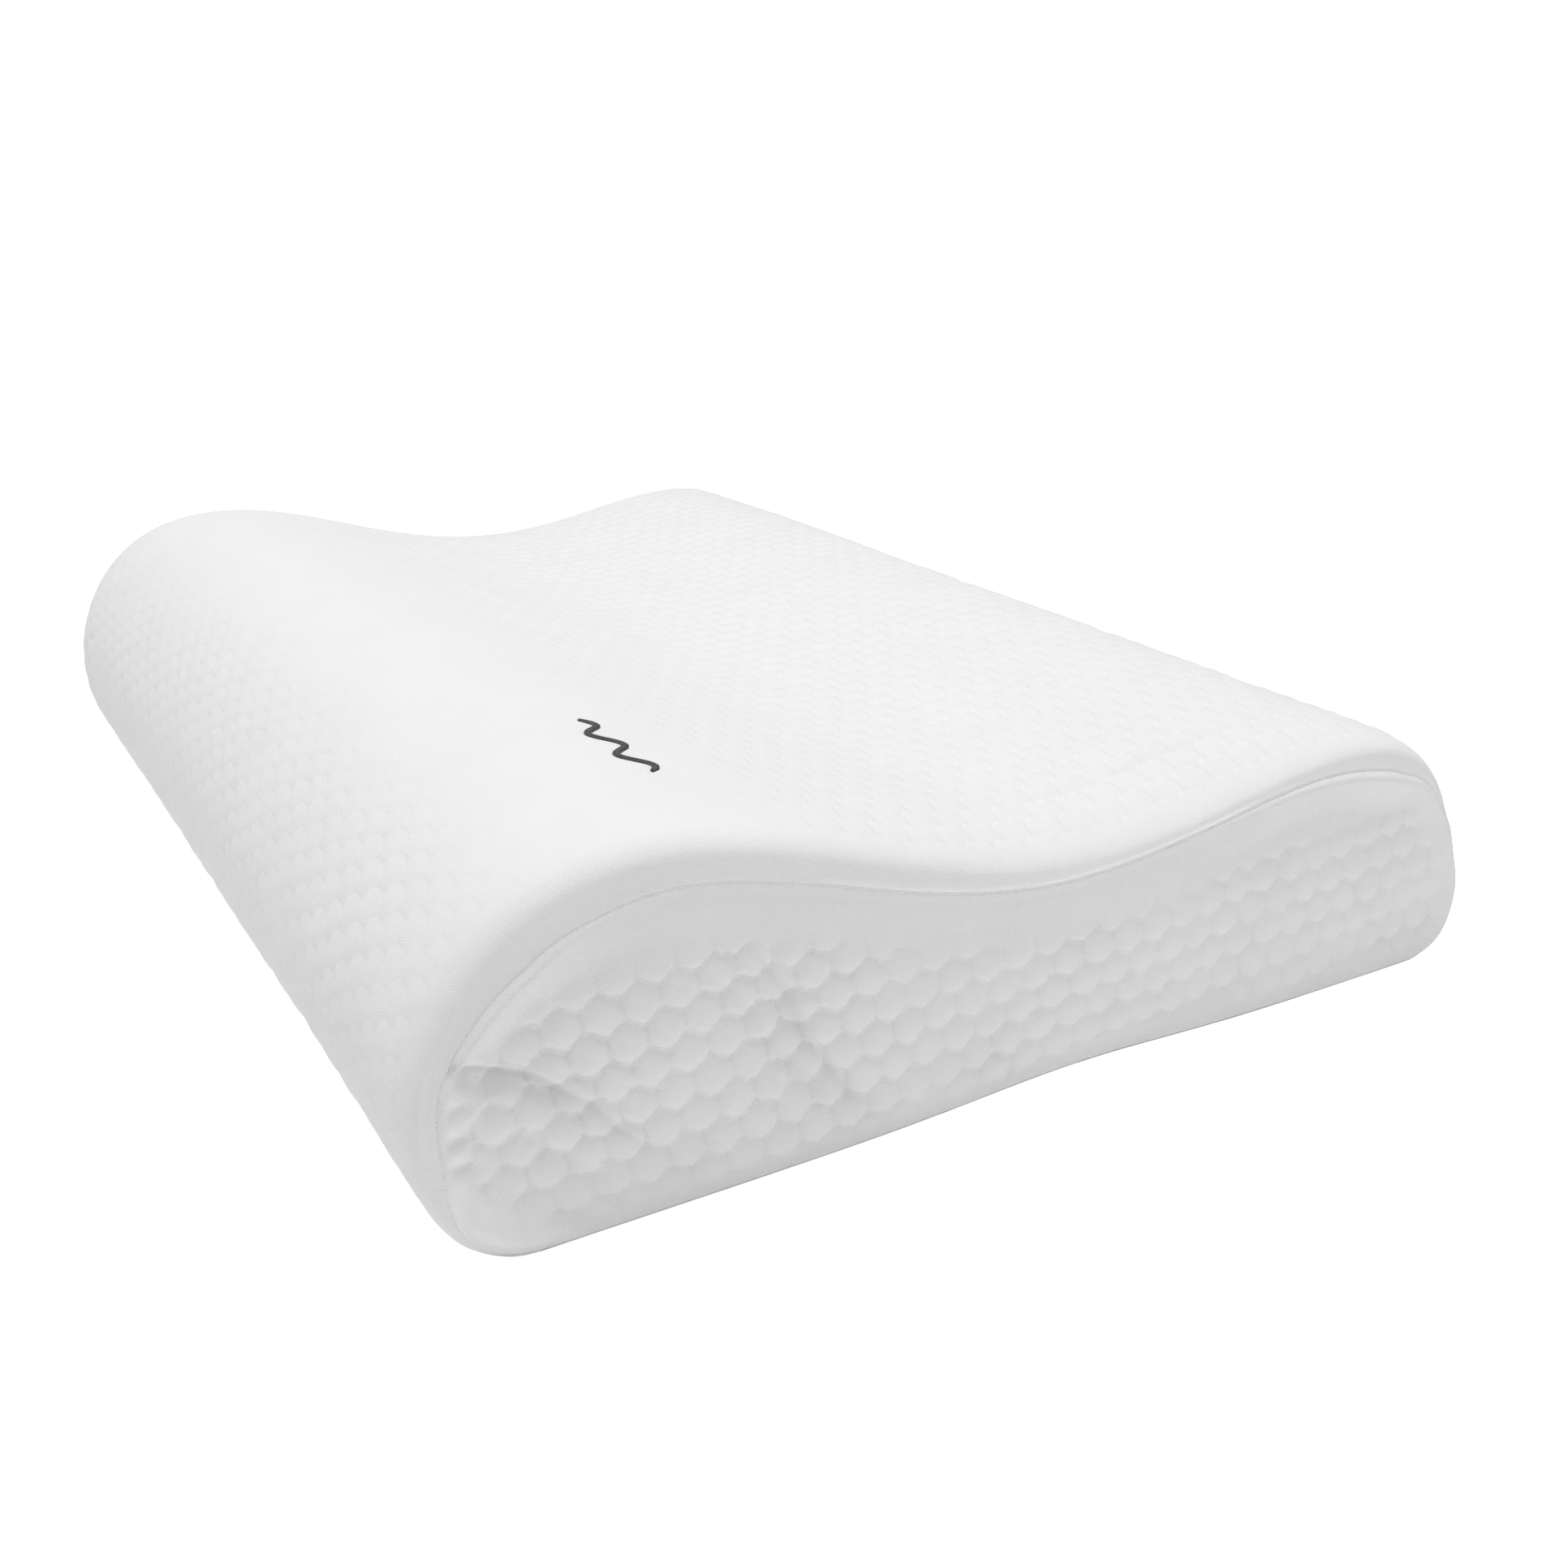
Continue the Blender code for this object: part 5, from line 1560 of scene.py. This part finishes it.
def build_label_stitches():
    """The line of stitches that holds the two layers."""
    x0, y0, top_z = label_place()
    t = np.linspace(0, 1, 7)
    paths = [np.column_stack([x0 - 0.30 - 0.22 * np.sin(t * math.pi),
                              y0 - 8.6 + k * 3.0 + t * 2.4, np.full(7, top_z - 2.2)])
             for k in range(6)]
    return tube_object("care_label_stitches", paths, 0.17, 6, WHITE_THREAD)


label, label_stitches = build_label(), build_label_stitches()
settle(label, "care_label", "label_satin", "care_label")
settle(label_stitches, "care_label", "sewing_thread")


# ---- floor, light and camera, in metres ------------------------------------------------------
WHITE = (1, 1, 1, 1)


def build_floor():
    """A paper floor that looks brighter to the camera than the light it throws back."""
    material = bpy.data.materials.new("studio_floor")
    material.use_nodes = True
    tree = material.node_tree
    shader = tree.nodes["Principled BSDF"]
    shader.inputs["Base Color"].default_value = (0.9, 0.9, 0.9, 1)
    shader.inputs["Roughness"].default_value = 0.9
    shader.inputs["Specular IOR Level"].default_value = 0.0
    seen = add_node(tree, "ShaderNodeLightPath").outputs["Is Camera Ray"]
    level = add_node(tree, "ShaderNodeMapRange", {"Value": seen, "To Min": 0.15, "To Max": 0.74})
    glow = add_node(tree, "ShaderNodeEmission", {"Color": WHITE, "Strength": level.outputs[0]})
    total = add_node(tree, "ShaderNodeAddShader", {0: shader.outputs[0], 1: glow.outputs[0]})
    plug(tree.nodes["Material Output"].inputs["Surface"], total.outputs[0])
    mesh = bpy.data.meshes.new("floor")
    bm = bmesh.new()
    bmesh.ops.create_grid(bm, x_segments=2, y_segments=2, size=30.0)
    bm.to_mesh(mesh)
    bm.free()
    mesh.materials.append(material)
    floor = bpy.data.objects.new("floor", mesh)
    floor.location = (0, 0, -0.0006)
    bpy.context.scene.collection.objects.link(floor)


def build_world():
    """Soft white surroundings that the camera sees as pure white."""
    world = bpy.data.worlds.new("studio")
    bpy.context.scene.world = world
    world.use_nodes = True
    tree = world.node_tree
    lit = tree.nodes["Background"]
    lit.inputs["Color"].default_value = WHITE
    lit.inputs["Strength"].default_value = 0.36
    seen = add_node(tree, "ShaderNodeBackground", {"Color": WHITE, "Strength": 1.0})
    to_camera = add_node(tree, "ShaderNodeLightPath").outputs["Is Camera Ray"]
    mix = add_node(tree, "ShaderNodeMixShader",
                   {0: to_camera, 1: lit.outputs[0], 2: seen.outputs[0]})
    plug(tree.nodes["World Output"].inputs["Surface"], mix.outputs[0])


def area_light(name, place, target, size, watts):
    data = bpy.data.lights.new(name, "AREA")
    data.shape = "DISK"
    data.size = size
    data.energy = watts
    data.color = (1, 1, 1)
    light = bpy.data.objects.new(name, data)
    light.location = place
    light.rotation_mode = "QUATERNION"
    light.rotation_quaternion = (Vector(target) - Vector(place)).to_track_quat("-Z", "Y")
    bpy.context.scene.collection.objects.link(light)


def build_camera():
    place = (0.630576, -0.2759, 0.275321)
    yaw, pitch, roll = 2.652231, -0.361099, -0.038403
    ahead = Vector((math.cos(yaw) * math.cos(pitch), math.sin(yaw) * math.cos(pitch),
                    math.sin(pitch)))
    level_right = ahead.cross(Vector((0, 0, 1))).normalized()
    level_up = level_right.cross(ahead)
    right = level_right * math.cos(roll) + level_up * math.sin(roll)
    up = level_up * math.cos(roll) - level_right * math.sin(roll)
    data = bpy.data.cameras.new("camera")
    data.sensor_width = 36.0
    data.lens = 41.433235193
    data.clip_start, data.clip_end = 0.02, 100.0
    camera = bpy.data.objects.new("camera", data)
    camera.matrix_world = Matrix((*zip(right, up, -ahead, place), (0, 0, 0, 1)))
    bpy.context.scene.collection.objects.link(camera)
    bpy.context.scene.camera = camera


view = bpy.context.scene.view_settings
view.view_transform = "Standard"
view.look = "None"
view.exposure = 0.0
view.gamma = 1.0
build_floor()
build_world()
area_light("overhead", place=(-0.04, -0.16, 2.1), target=(0.0, 0.0, 0.05), size=1.3, watts=32.0)
area_light("right_fill", place=(1.2, 0.75, 0.40), target=(0.25, 0.15, 0.04), size=0.5, watts=1.3)
area_light("low_fill", place=(1.35, -0.15, 0.16), target=(0.25, 0.0, 0.04), size=0.6, watts=0.2)
build_camera()
